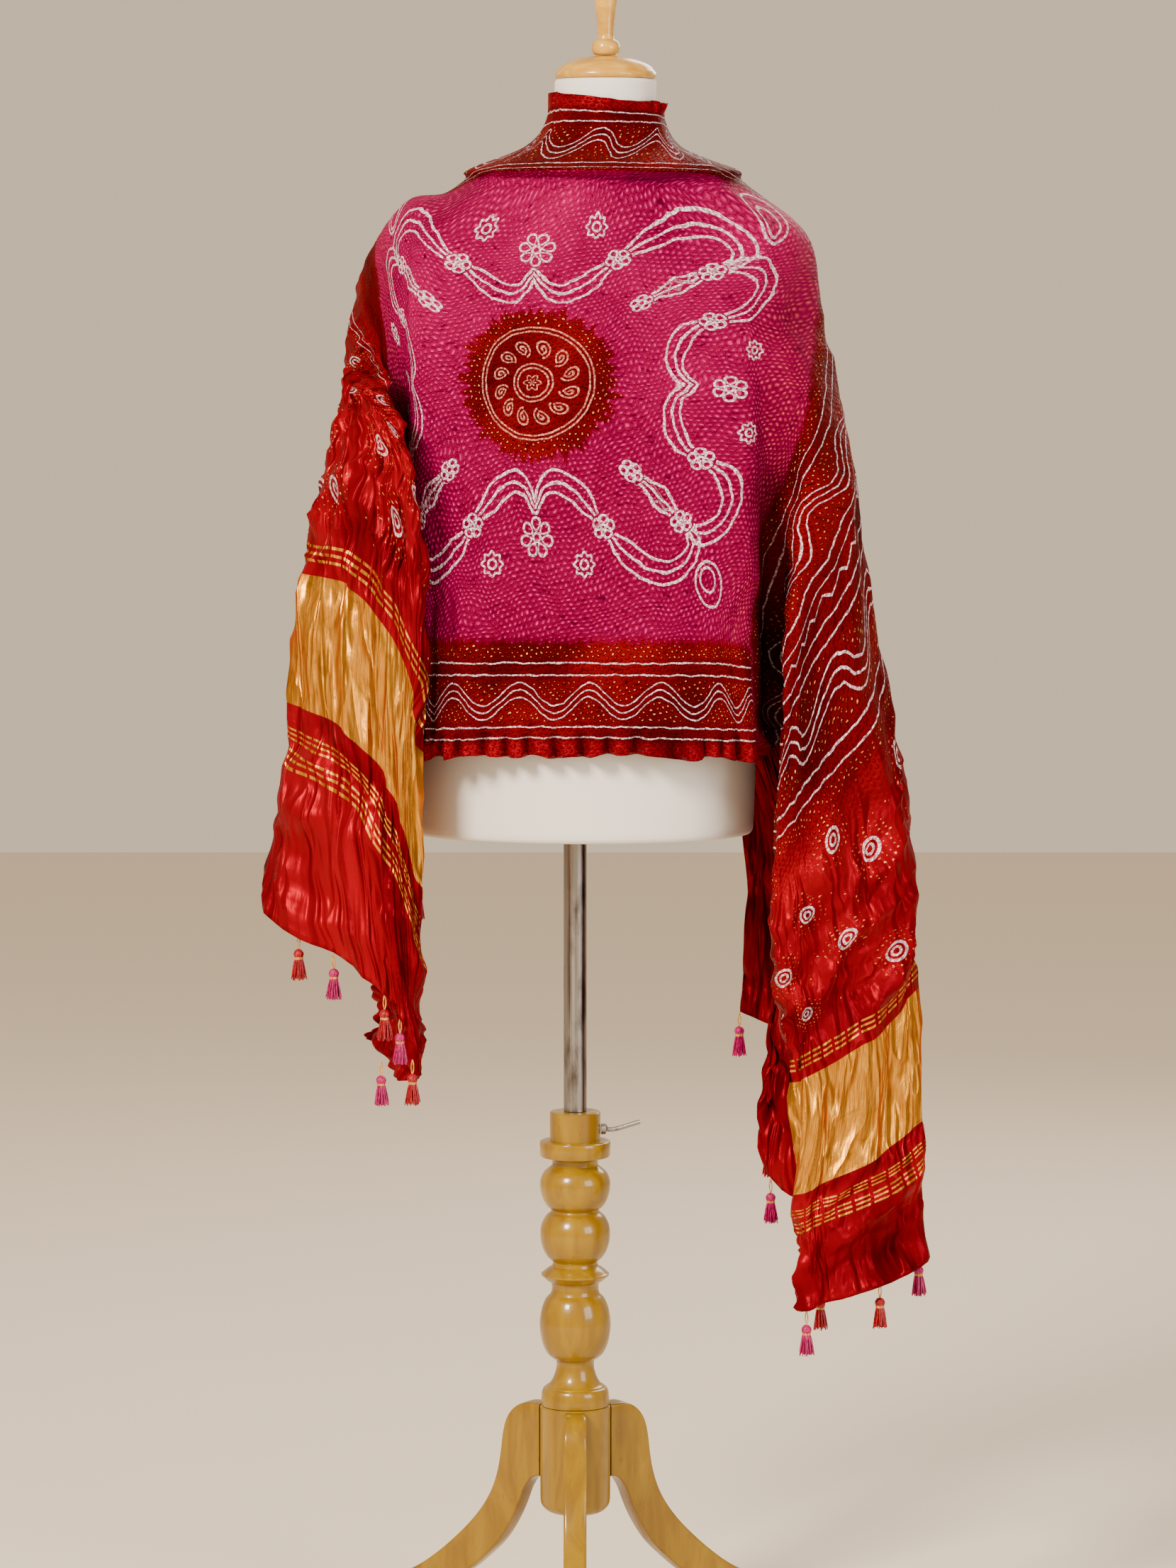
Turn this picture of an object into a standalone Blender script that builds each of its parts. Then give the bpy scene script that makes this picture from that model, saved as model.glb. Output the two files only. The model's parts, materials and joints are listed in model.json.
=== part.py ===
"""Bandhani cloth laid over the shoulders of a headless dress form on a turned stand.

Sizes are in metres, +Z is up and the back of the dress form, which is the side on show, faces -Y.
"""

import math

import bmesh
import bpy
import numpy as np
from mathutils import Matrix, Vector
from mathutils.bvhtree import BVHTree

CLOTH_HALF_LENGTH = 1.17
CLOTH_WIDTH = 0.74
CLOTH_THICKNESS = 0.002
COLLAR_HALF_LENGTH = 0.47
COLLAR_STEPS = 36
DROP_STEPS = 13
CLOTH_STEPS_ALONG = COLLAR_STEPS + 2 * DROP_STEPS
COLLAR_DEPTH = 0.18
COLLAR_STEPS_DOWN = 12
LOWER_STEPS = 18
CLOTH_STEPS_ACROSS = COLLAR_STEPS_DOWN + LOWER_STEPS
FOLD_ROUNDNESS = 0.6

FIT_GAP = 0.0003
SHOULDER_LIFT = 0.022

BASE_X = 0.008
BASE_Z = 0.835
LEAN = 0.030

POLE_RADIUS = 0.01165
COLUMN_TOP = 0.5521
LEG_THICKNESS = 0.023
LEG_ANGLES = (-90, 30, 150)
LEG_EDGE = 0.003

NECK_TOP = 1.5900

TURNED_SIDES = 20
FINIAL_SIDES = 12
TORSO_SIDES = 24

STEM_RADIUS = 0.0008
STEM_LENGTH = 0.0145
STRANDS = 7
STRAND_LENGTH = 0.0200
STRAND_SPREAD = 0.0035
STRAND_INSET = 0.00035

# Places across the cloth, from the top selvage to the bottom one, that LAY gives values for.
ACROSS = (0.0, 0.14, 0.373, 0.606, 0.74)

# The wrap round neck and shoulders: level, height, half_width, back_depth, front_depth.
# A level counts up the cloth's way, so that the collar can fold down over itself.
YOKE = (
    (1.606, 1.573, 0.0570, 0.0590, 0.0570),
    (1.580, 1.549, 0.0600, 0.0630, 0.0590),
    (1.554, 1.524, 0.0780, 0.0780, 0.0650),
    (1.522, 1.498, 0.142, 0.125, 0.078),
    (1.506, 1.494, 0.128, 0.103, 0.080),
    (1.485, 1.479, 0.152, 0.114, 0.088),
    (1.440, 1.442, 0.200, 0.124, 0.106),
)
# Places round the wrap, from the middle of the back to the front edge, and their angles on the yoke:
# middle, mouth, valley_in, valley_out, fold, outer, pleat, turn, edge.
PLACES = (0.0, 1.0, 1.75, 2.25, 3.0, 4.0, 5.0, 6.0, 7.0)
YOKE_ANGLES = (0, 50, 59, 65, 74, 92, 122, 143, 160)

# The folds of the hanging ends: level, the back's y, then x and y at each place from mouth to edge.
RIGHT = (
    (1.360, -0.131, 0.158, -0.110, 0.182, -0.098, 0.198, -0.086, 0.214, -0.066, 0.246, -0.010, 0.215, 0.075, 0.165, 0.112, 0.100, 0.130),
    (1.300, -0.133, 0.161, -0.112, 0.184, -0.099, 0.202, -0.092, 0.224, -0.084, 0.258, -0.015, 0.220, 0.080, 0.170, 0.117, 0.107, 0.138),
    (1.246, -0.134, 0.165, -0.114, 0.186, -0.098, 0.206, -0.092, 0.232, -0.098, 0.270, -0.020, 0.225, 0.085, 0.175, 0.122, 0.115, 0.145),
    (1.130, -0.137, 0.170, -0.118, 0.186, -0.052, 0.211, -0.050, 0.220, -0.122, 0.290, -0.035, 0.230, 0.080, 0.185, 0.122, 0.125, 0.145),
    (0.980, -0.141, 0.174, -0.126, 0.190, -0.008, 0.219, -0.004, 0.210, -0.138, 0.314, -0.045, 0.230, 0.060, 0.200, 0.110, 0.135, 0.140),
    (0.820, -0.143, 0.178, -0.120, 0.198, -0.010, 0.222, -0.008, 0.202, -0.132, 0.334, -0.045, 0.205, 0.045, 0.250, 0.090, 0.172, 0.118),
    (0.600, -0.143, 0.180, -0.110, 0.206, -0.035, 0.232, -0.035, 0.224, -0.112, 0.336, -0.040, 0.190, 0.035, 0.260, 0.075, 0.168, 0.100),
    (0.360, -0.143, 0.180, -0.100, 0.222, -0.040, 0.250, -0.040, 0.232, -0.106, 0.352, -0.040, 0.195, 0.030, 0.270, 0.065, 0.175, 0.090),
)
LEFT = (
    (1.360, -0.131, 0.150, -0.110, 0.168, -0.101, 0.180, -0.094, 0.192, -0.083, 0.214, -0.040, 0.196, 0.040, 0.150, 0.100, 0.080, 0.128),
    (1.300, -0.133, 0.152, -0.110, 0.168, -0.098, 0.184, -0.096, 0.190, -0.112, 0.224, -0.055, 0.210, 0.038, 0.160, 0.102, 0.088, 0.137),
    (1.246, -0.134, 0.154, -0.107, 0.170, -0.060, 0.193, -0.058, 0.168, -0.148, 0.231, -0.070, 0.222, 0.035, 0.170, 0.105, 0.095, 0.145),
    (1.100, -0.137, 0.158, -0.108, 0.174, -0.010, 0.198, -0.006, 0.154, -0.164, 0.260, -0.080, 0.235, 0.030, 0.185, 0.090, 0.110, 0.142),
    (0.950, -0.142, 0.160, -0.116, 0.178, -0.004, 0.202, 0.000, 0.158, -0.164, 0.275, -0.085, 0.240, 0.025, 0.195, 0.075, 0.130, 0.132),
    (0.800, -0.143, 0.162, -0.112, 0.180, -0.010, 0.206, -0.008, 0.160, -0.160, 0.302, -0.085, 0.245, 0.015, 0.205, 0.065, 0.160, 0.112),
    (0.580, -0.143, 0.164, -0.100, 0.186, -0.025, 0.212, -0.023, 0.160, -0.147, 0.300, -0.080, 0.245, 0.010, 0.210, 0.055, 0.170, 0.098),
)

# How the flat cloth lies on the folds: u, then place and level at each value of ACROSS.
LAY = (
    (-1.17, -7.0, 0.780, -5.5, 0.830, -3.50, 0.726, -2.75, 0.600, -2.35, 0.630),
    (-1.04, -7.0, 0.870, -5.6, 0.930, -3.62, 0.885, -2.80, 0.690, -2.45, 0.670),
    (-0.86, -7.0, 1.000, -5.7, 1.080, -3.74, 1.070, -2.80, 0.880, -2.45, 0.790),
    (-0.56, -7.0, 1.220, -5.8, 1.290, -3.70, 1.285, -2.70, 1.130, -2.35, 0.950),
    (-0.43, -7.0, 1.340, -5.2, 1.375, -3.00, 1.300, -2.30, 1.110, -2.10, 0.930),
    (-0.30, -7.0, 1.460, -4.5, 1.430, -2.20, 1.300, -1.60, 1.040, -1.60, 0.910),
    (-0.20, -7.0, 1.550, -3.0, 1.455, -1.30, 1.270, -0.95, 1.040, -0.95, 0.920),
    (-0.10, -4.7, 1.602, -1.0, 1.485, -0.68, 1.270, -0.66, 1.040, -0.66, 0.922),
    (0.00, -0.35, 1.606, -0.35, 1.492, -0.33, 1.270, -0.26, 1.040, -0.26, 0.925),
    (0.10, 3.05, 1.604, 0.20, 1.490, 0.17, 1.270, 0.20, 1.040, 0.20, 0.925),
    (0.20, 7.0, 1.590, 0.88, 1.478, 0.80, 1.265, 0.65, 1.040, 0.66, 0.922),
    (0.30, 7.0, 1.500, 4.6, 1.440, 2.80, 1.255, 0.97, 1.035, 1.10, 0.920),
    (0.43, 7.0, 1.380, 5.6, 1.360, 4.00, 1.210, 2.90, 0.995, 2.20, 0.925),
    (0.56, 7.0, 1.255, 6.0, 1.170, 4.15, 1.010, 2.95, 0.830, 2.50, 0.810),
    (0.86, 7.0, 0.950, 5.9, 0.880, 4.45, 0.720, 2.95, 0.596, 2.45, 0.590),
    (1.04, 7.0, 0.770, 5.9, 0.710, 4.45, 0.550, 2.80, 0.450, 2.35, 0.460),
    (1.17, 7.0, 0.640, 5.9, 0.590, 4.45, 0.440, 2.80, 0.366, 2.30, 0.390),
)

# Torso and neck: height, half_width, half_depth.
TORSO = (
    (0.8350, 0.1640, 0.1100),
    (0.8380, 0.1700, 0.1160),
    (0.8460, 0.1718, 0.1182),
    (0.9000, 0.172, 0.119),
    (1.0000, 0.158, 0.108),
    (1.1000, 0.138, 0.093),
    (1.2000, 0.144, 0.100),
    (1.3000, 0.158, 0.112),
    (1.3700, 0.170, 0.106),
    (1.4150, 0.176, 0.096),
    (1.4450, 0.1680, 0.090),
    (1.4749, 0.1515, 0.086),
    (1.4880, 0.110, 0.072),
    (1.5000, 0.068, 0.056),
    (1.5250, 0.054, 0.051),
    (1.5500, 0.050, 0.050),
    (NECK_TOP - 0.0040, 0.0510, 0.0510),
    (NECK_TOP, 0.0480, 0.0480),
)

# Turned outlines from the top down: radius, height.
CAP_OUTLINE = (
    (0.0150, 0.0235),
    (0.0300, 0.0205),
    (0.0440, 0.0145),
    (0.0500, 0.0085),
    (0.0504, 0.0040),
    (0.0470, 0.0003),
)
FINIAL_OUTLINE = (
    (0.0040, 0.1140),
    (0.0090, 0.1090),
    (0.0125, 0.0980),
    (0.0125, 0.0850),
    (0.0105, 0.0700),
    (0.0085, 0.0520),
    (0.0082, 0.0400),
    (0.0100, 0.0385),
    (0.0140, 0.0335),
    (0.0140, 0.0285),
    (0.0110, 0.0238),
)
COLUMN_OUTLINE = (
    (0.0250, 0.5521),
    (0.0257, 0.5510),
    (0.0257, 0.5221),
    (0.0340, 0.5221),
    (0.0357, 0.5205),
    (0.0357, 0.5100),
    (0.0300, 0.5030),
    (0.0232, 0.4986),
    (0.0300, 0.4930),
    (0.0346, 0.4850),
    (0.0357, 0.4771),
    (0.0343, 0.4660),
    (0.0290, 0.4560),
    (0.0243, 0.4514),
    (0.0300, 0.4450),
    (0.0346, 0.4370),
    (0.0357, 0.4279),
    (0.0340, 0.4150),
    (0.0285, 0.4040),
    (0.0229, 0.3979),
    (0.0245, 0.3935),
    (0.0320, 0.3920),
    (0.0343, 0.3857),
    (0.0320, 0.3790),
    (0.0245, 0.3770),
    (0.0239, 0.3680),
    (0.0300, 0.3600),
    (0.0346, 0.3480),
    (0.0361, 0.3336),
    (0.0343, 0.3180),
    (0.0280, 0.3050),
    (0.0196, 0.2979),
    (0.0190, 0.2930),
    (0.0225, 0.2790),
    (0.0296, 0.2707),
    (0.0343, 0.2693),
    (0.0343, 0.2510),
)
HUB_OUTLINE = (
    (0.0357, 0.2504),
    (0.0357, 0.1514),
    (0.0330, 0.1440),
    (0.0240, 0.1400),
    (0.0120, 0.1393),
)

# The bound head of a tassel below its loop: radius, depth below the loop.
TASSEL_HEAD = (
    (0.0038, 0.0015),
    (0.0050, 0.0048),
    (0.0043, 0.0088),
)
TASSEL_CORE = 0.0011

# One leg seen from its side: distance from the axis, height.
LEG_OUTLINE = (
    (0.0360, 0.2495),
    (0.0500, 0.2500),
    (0.0624, 0.2470),
    (0.0748, 0.2321),
    (0.0814, 0.2079),
    (0.0860, 0.1800),
    (0.0954, 0.1529),
    (0.1095, 0.1314),
    (0.1400, 0.0990),
    (0.1750, 0.0700),
    (0.2080, 0.0520),
    (0.2330, 0.0420),
    (0.2480, 0.0280),
    (0.2500, 0.0120),
    (0.2450, 0.0000),
    (0.2100, 0.0000),
    (0.2020, 0.0140),
    (0.1850, 0.0270),
    (0.1550, 0.0420),
    (0.1200, 0.0670),
    (0.0850, 0.0990),
    (0.0640, 0.1330),
    (0.0550, 0.1580),
    (0.0470, 0.1700),
    (0.0360, 0.1740),
)

# The clamp screw: x, z, thickness.
CLAMP_SCREW = (
    (0.0260, 0.5340, 2.2),
    (0.0310, 0.5340, 2.2),
    (0.0312, 0.5340, 1.0),
    (0.0370, 0.5335, 1.0),
    (0.0450, 0.5350, 1.0),
    (0.0657, 0.5414, 0.8),
)
CLAMP_SCREW_RADIUS = 0.0025

# Tassels along each hem: step of the cloth's width, counted from the top selvage, and colour.
RIGHT_TASSELS = (
    (0, "magenta"),
    (5, "red"),
    (9, "magenta"),
    (14, "red"),
    (16, "magenta"),
    (18, "red"),
    (20, "magenta"),
    (22, "red"),
    (25, "magenta"),
    (29, "red"),
)
LEFT_TASSELS = (
    (0, "red"),
    (5, "magenta"),
    (10, "red"),
    (13, "magenta"),
    (17, "red"),
    (18, "magenta"),
    (20, "red"),
    (21, "magenta"),
    (23, "red"),
    (28, "magenta"),
)

COLOURS = {
    "bandhani_silk": ((0.60, 0.01, 0.12), 0.45, 0.0),
    "form_cover": ((0.72, 0.68, 0.61), 0.80, 0.0),
    "lacquered_wood": ((0.70, 0.36, 0.05), 0.30, 0.0),
    "pole_steel": ((0.55, 0.54, 0.52), 0.25, 1.0),
    "screw_steel": ((0.30, 0.29, 0.28), 0.40, 1.0),
    "tassel_red": ((0.55, 0.01, 0.02), 0.60, 0.0),
    "tassel_magenta": ((0.60, 0.02, 0.22), 0.60, 0.0),
}


def calm_slopes(values, places):
    """Slopes down the first axis that never let a curve swing past its own knots."""
    rise = np.diff(values, axis=0) / np.diff(places).reshape((-1,) + (1,) * (values.ndim - 1))
    before, after = rise[:-1], rise[1:]
    both = before * after
    slopes = np.zeros_like(values)
    slopes[1:-1] = np.where(both > 0, 2 * both / np.where(both > 0, before + after, 1), 0)
    slopes[0], slopes[-1] = rise[0], rise[-1]
    return slopes


def bend(t, step, start, end, slope_start, slope_end):
    """A cubic from start to end over a step, with the slopes given at both."""
    return (
        start * (2 * t**3 - 3 * t**2 + 1)
        + end * (3 * t**2 - 2 * t**3)
        + slope_start * step * (t**3 - 2 * t**2 + t)
        + slope_end * step * (t**3 - t**2)
    )


def along(at, places, values, slopes):
    """Values between rows of knots, for each place asked for."""
    i = np.clip(np.searchsorted(places, at) - 1, 0, len(places) - 2)
    step = places[i + 1] - places[i]
    t = np.clip((at - places[i]) / step, 0, 1)
    shape = t.shape + (1,) * (values.ndim - 1)
    return bend(t.reshape(shape), step.reshape(shape), values[i], values[i + 1], slopes[i], slopes[i + 1])


def knot_rows(rows, side):
    """Levels, and the knots of each from the middle of the back to the front edge of one side."""
    levels, knots = [], []
    for level, height, half, back, front in YOKE:
        line = []
        for angle in YOKE_ANGLES:
            turn = math.radians(angle)
            depth = back if angle < 90 else front
            x = half * math.sin(turn) * side + BASE_X + (height - BASE_Z) * LEAN
            line.append((x, -depth * math.cos(turn), height))
        levels.append(level)
        knots.append(line)
    for level, back_y, *flat in rows:
        middle = BASE_X + (level - BASE_Z) * LEAN
        line = [(middle, back_y, level)]
        line += [(x * side, y, level) for x, y in zip(flat[0::2], flat[1::2])]
        levels.append(level)
        knots.append(line)
    return np.array(levels[::-1]), np.array(knots[::-1])


def hang(place, level):
    """The points at places round the wrap, -7 to 7, and at levels down it."""
    sides = []
    for rows, side in ((RIGHT, 1), (LEFT, -1)):
        levels, knots = knot_rows(rows, side)
        sides.append(along(level, levels, knots, np.gradient(knots, levels, axis=0)))
    ring = np.concatenate([sides[1][:, :0:-1], sides[0]], axis=1)
    places = np.array([-p for p in PLACES[:0:-1]] + list(PLACES))
    ring = np.swapaxes(ring, 0, 1)
    slopes = FOLD_ROUNDNESS * np.gradient(ring, places, axis=0) + (1 - FOLD_ROUNDNESS) * calm_slopes(ring, places)
    place = np.clip(place, places[0], places[-1])
    i = np.clip(np.searchsorted(places, place) - 1, 0, len(places) - 2)
    step = (places[i + 1] - places[i])[:, None]
    t = (place - places[i])[:, None] / step
    row = np.arange(len(place))
    return bend(t, step, ring[i, row], ring[i + 1, row], slopes[i, row], slopes[i + 1, row])


def eased(low, high, value):
    """0 below low, 1 above high, and a smooth rise between."""
    t = np.clip((value - low) / (high - low), 0, 1)
    return t * t * (3 - 2 * t)


def lifted(x, z):
    """Heights with the left shoulder held up, because the dress form stands a little crooked."""
    reach = eased(1.30, 1.41, z) * (1 - 0.5 * eased(1.475, 1.505, z))
    return z + SHOULDER_LIFT * eased(0.12, 0.17, -x) * reach


def laid(u, v):
    """Where flat places of the cloth lie: u along it from its middle, v across it from the top selvage."""
    table = np.array(LAY)
    places = np.array(ACROSS)
    values = table[:, 1:].reshape(-1, 5, 2)
    lines = along(u.ravel(), table[:, 0], values, calm_slopes(values, table[:, 0]))
    lines = np.swapaxes(lines, 0, 1)
    slopes = calm_slopes(lines, places)
    at = v.ravel()
    i = np.clip(np.searchsorted(places, at) - 1, 0, len(places) - 2)
    step = places[i + 1] - places[i]
    t = ((at - places[i]) / step)[:, None]
    col = np.arange(len(at))
    where = bend(t, step[:, None], lines[i, col], lines[i + 1, col], slopes[i, col], slopes[i + 1, col])
    points = hang(where[:, 0], where[:, 1])
    points[:, 2] = lifted(points[:, 0], points[:, 2])
    return points.reshape(u.shape + (3,))


def material(name):
    """A plain material."""
    found = bpy.data.materials.get(name)
    if found:
        return found
    colour, roughness, metallic = COLOURS[name]
    made = bpy.data.materials.new(name)
    made.use_nodes = True
    shader = made.node_tree.nodes["Principled BSDF"]
    shader.inputs["Base Color"].default_value = (*colour, 1)
    shader.inputs["Roughness"].default_value = roughness
    shader.inputs["Metallic"].default_value = metallic
    made.diffuse_color = (*colour, 1)
    return made


def place(name, data, material_name, group, at=(0, 0, 0), turn=(0, 0, 0)):
    """One named piece in the model's collection."""
    if not data.materials:
        data.materials.append(material(material_name))
    made = bpy.data.objects.new(name, data)
    made.location = at
    made.rotation_euler = turn
    group.objects.link(made)
    return made


def smooth_shaded(mesh):
    """Round faces shaded smooth, with the sharp edges kept."""
    mesh.shade_smooth()
    mesh.set_sharp_from_angle(angle=math.radians(40))
    return mesh


def add_turned(name, outline, material_name, group, at=(0, 0, 0), sides=TURNED_SIDES):
    """A turned piece: its outline, from the top down, swept round the upright axis."""
    points = [(0, 0, outline[0][1])] + [(r, 0, z) for r, z in outline] + [(0, 0, outline[-1][1])]
    mesh = bpy.data.meshes.new(name)
    mesh.from_pydata(points, [(i, i + 1) for i in range(len(points) - 1)], [])
    made = place(name, mesh, material_name, group, at)
    sweep = made.modifiers.new("turned", "SCREW")
    sweep.steps = sides
    sweep.render_steps = sides
    sweep.use_merge_vertices = True
    sweep.merge_threshold = 0.0001
    return made


def lofted(rings):
    """A closed body through rings of equally many points, flat at both ends."""
    sides = len(rings[0])
    points = [p for ring in rings for p in ring]
    faces = []
    for r in range(len(rings) - 1):
        for s in range(sides):
            n = (s + 1) % sides
            faces.append((r * sides + s, r * sides + n, (r + 1) * sides + n, (r + 1) * sides + s))
    faces.append(tuple(range(sides - 1, -1, -1)))
    faces.append(tuple(range((len(rings) - 1) * sides, len(rings) * sides)))
    mesh = bpy.data.meshes.new("lofted")
    mesh.from_pydata(points, [], faces)
    return mesh


def oval(x, z, half_width, half_depth, sides):
    """An oval ring round a point on the Y = 0 plane, level but for the lift of the left shoulder."""
    turns = [2 * math.pi * s / sides for s in range(sides)]
    ring = [(x + half_width * math.cos(a), half_depth * math.sin(a)) for a in turns]
    return [(across, out, float(lifted(across, z))) for across, out in ring]


def cloth_grid():
    """The points of the cloth's middle surface, in rows along it and steps across it."""
    drop = np.linspace(COLLAR_HALF_LENGTH, CLOTH_HALF_LENGTH, DROP_STEPS + 1)[1:]
    collar = np.linspace(-COLLAR_HALF_LENGTH, COLLAR_HALF_LENGTH, COLLAR_STEPS + 1)
    u = np.concatenate([-drop[::-1], collar, drop])
    top = np.linspace(0, COLLAR_DEPTH, COLLAR_STEPS_DOWN + 1)
    v = np.concatenate([top, np.linspace(COLLAR_DEPTH, CLOTH_WIDTH, LOWER_STEPS + 1)[1:]])
    return laid(*np.meshgrid(u, v, indexing="ij"))


def cloth_mesh(grid):
    """The middle surface of the cloth."""
    row = CLOTH_STEPS_ACROSS + 1
    faces = [
        (a * row + b, (a + 1) * row + b, (a + 1) * row + b + 1, a * row + b + 1)
        for a in range(CLOTH_STEPS_ALONG)
        for b in range(CLOTH_STEPS_ACROSS)
    ]
    mesh = bpy.data.meshes.new("cloth")
    mesh.from_pydata([tuple(p) for p in grid.reshape(-1, 3)], [], faces)
    mesh.shade_smooth()
    return mesh


def leg_curve():
    """A sawn leg: its flat outline, extruded to the leg's thickness, with eased edges."""
    curve = bpy.data.curves.new("leg", "CURVE")
    curve.dimensions = "2D"
    curve.fill_mode = "BOTH"
    curve.extrude = LEG_THICKNESS / 2 - LEG_EDGE
    curve.bevel_depth = LEG_EDGE
    curve.bevel_resolution = 0
    curve.offset = -LEG_EDGE
    line = curve.splines.new("POLY")
    line.points.add(len(LEG_OUTLINE) - 1)
    for point, (r, z) in zip(line.points, LEG_OUTLINE):
        point.co = (r, z, 0, 1)
    line.use_cyclic_u = True
    return curve


def screw_curve():
    """The clamp screw with its bent rod, as a round bar of changing thickness."""
    curve = bpy.data.curves.new("clamp_screw", "CURVE")
    curve.dimensions = "3D"
    curve.bevel_depth = CLAMP_SCREW_RADIUS
    curve.bevel_resolution = 2
    curve.use_fill_caps = True
    line = curve.splines.new("POLY")
    line.points.add(len(CLAMP_SCREW) - 1)
    for point, (x, z, thickness) in zip(line.points, CLAMP_SCREW):
        point.co = (x, 0, z, 1)
        point.radius = thickness
    return curve


def tassel_mesh():
    """A loop, a bound head and strands that stand apart below it, hanging from its origin."""
    work = bmesh.new()
    half = Matrix.Translation((0, 0, -STEM_LENGTH / 2))
    bmesh.ops.create_cone(
        work, cap_ends=True, segments=STRANDS, radius1=STEM_RADIUS, radius2=STEM_RADIUS, depth=STEM_LENGTH, matrix=half
    )
    low = min(work.faces, key=lambda f: f.calc_center_median().z)
    wide = STEM_RADIUS
    for radius, depth in TASSEL_HEAD + ((TASSEL_CORE, TASSEL_HEAD[-1][1]),):
        low = bmesh.ops.extrude_discrete_faces(work, faces=[low])["faces"][0]
        for corner in low.verts:
            corner.co.x *= radius / wide
            corner.co.y *= radius / wide
            corner.co.z = -STEM_LENGTH - depth
        wide = radius
    work.faces.ensure_lookup_table()
    base = -STEM_LENGTH - TASSEL_HEAD[-1][1]
    sectors = [f for f in work.faces if len(f.verts) == 4 and all(abs(c.co.z - base) < 1e-6 for c in f.verts)]
    bmesh.ops.inset_individual(work, faces=sectors, thickness=STRAND_INSET, use_even_offset=True)
    for strand in bmesh.ops.extrude_discrete_faces(work, faces=sectors)["faces"]:
        out = strand.calc_center_median()
        out.z = 0
        fall = out.normalized() * STRAND_SPREAD + Vector((0, 0, -STRAND_LENGTH))
        bmesh.ops.translate(work, verts=strand.verts, vec=fall)
    mesh = bpy.data.meshes.new("tassel")
    work.to_mesh(mesh)
    work.free()
    return mesh


def tassel_place(hem, shell):
    """The top of a tassel's loop, raised under a point of the hem until it is just clear of the cloth."""
    turns = [2 * math.pi * k / 12 for k in range(12)]
    spots = [(0, 0)]
    spots += [(r * math.cos(a), r * math.sin(a)) for r in (STEM_RADIUS / 2, STEM_RADIUS) for a in turns]
    x, y, z = hem
    z -= 3 * CLOTH_THICKNESS
    for _ in range(12):
        nearest = min(shell.find_nearest((x + across, y + out, z))[3] for across, out in spots)
        z += nearest - FIT_GAP
    return x, y, z


def centre_on_floor(pieces):
    """Move the pieces so that the middle of their outline on the floor is the origin."""
    bpy.context.view_layer.update()
    shapes = bpy.context.evaluated_depsgraph_get()
    corners = []
    for piece in pieces:
        made = piece.evaluated_get(shapes)
        corners += [made.matrix_world @ corner.co for corner in made.to_mesh().vertices]
        made.to_mesh_clear()
    corners = np.array(corners)
    low, high = corners.min(axis=0), corners.max(axis=0)
    for piece in pieces:
        piece.location -= Vector(((low[0] + high[0]) / 2, (low[1] + high[1]) / 2, low[2]))


def main():
    for old in list(bpy.data.objects):
        bpy.data.objects.remove(old, do_unlink=True)
    group = bpy.data.collections.new("bandhani_cloth")
    bpy.context.scene.collection.children.link(group)

    grid = cloth_grid()
    cloth = place("cloth", cloth_mesh(grid), "bandhani_silk", group)
    shell = cloth.modifiers.new("thickness", "SOLIDIFY")
    shell.thickness = CLOTH_THICKNESS
    shell.offset = 0

    rings = [oval(BASE_X + (z - BASE_Z) * LEAN, z, w, d, TORSO_SIDES) for z, w, d in TORSO]
    place("torso", smooth_shaded(lofted(rings)), "form_cover", group)

    neck = (BASE_X + (NECK_TOP - BASE_Z) * LEAN, 0, NECK_TOP)
    add_turned("neck_cap", CAP_OUTLINE, "lacquered_wood", group, neck)
    add_turned("finial", FINIAL_OUTLINE, "lacquered_wood", group, neck, FINIAL_SIDES)

    pole_ends = ((POLE_RADIUS, BASE_Z - FIT_GAP), (POLE_RADIUS, COLUMN_TOP + FIT_GAP))
    add_turned("pole", pole_ends, "pole_steel", group)
    add_turned("column", COLUMN_OUTLINE, "lacquered_wood", group)
    place("clamp_screw", screw_curve(), "screw_steel", group)
    add_turned("hub", HUB_OUTLINE, "lacquered_wood", group)

    leg = leg_curve()
    for number, angle in enumerate(LEG_ANGLES, 1):
        place(f"leg_{number}", leg, "lacquered_wood", group, turn=(math.radians(90), 0, math.radians(angle)))

    solid = BVHTree.FromObject(cloth, bpy.context.evaluated_depsgraph_get())
    hanging = {colour: tassel_mesh() for colour in ("red", "magenta")}
    for side, end, tassels in (("left", 0, LEFT_TASSELS), ("right", CLOTH_STEPS_ALONG, RIGHT_TASSELS)):
        for number, (step, colour) in enumerate(tassels, 1):
            name = f"tassel_{side}_{number:02d}"
            at = tassel_place(grid[end][step], solid)
            place(name, hanging[colour], f"tassel_{colour}", group, at, (0, 0, number * 0.7))

    centre_on_floor(group.objects)


main()
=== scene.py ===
"""The finished look of a bandhani silk cloth that lies over a dress form on a turned stand."""

import json
import math

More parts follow.
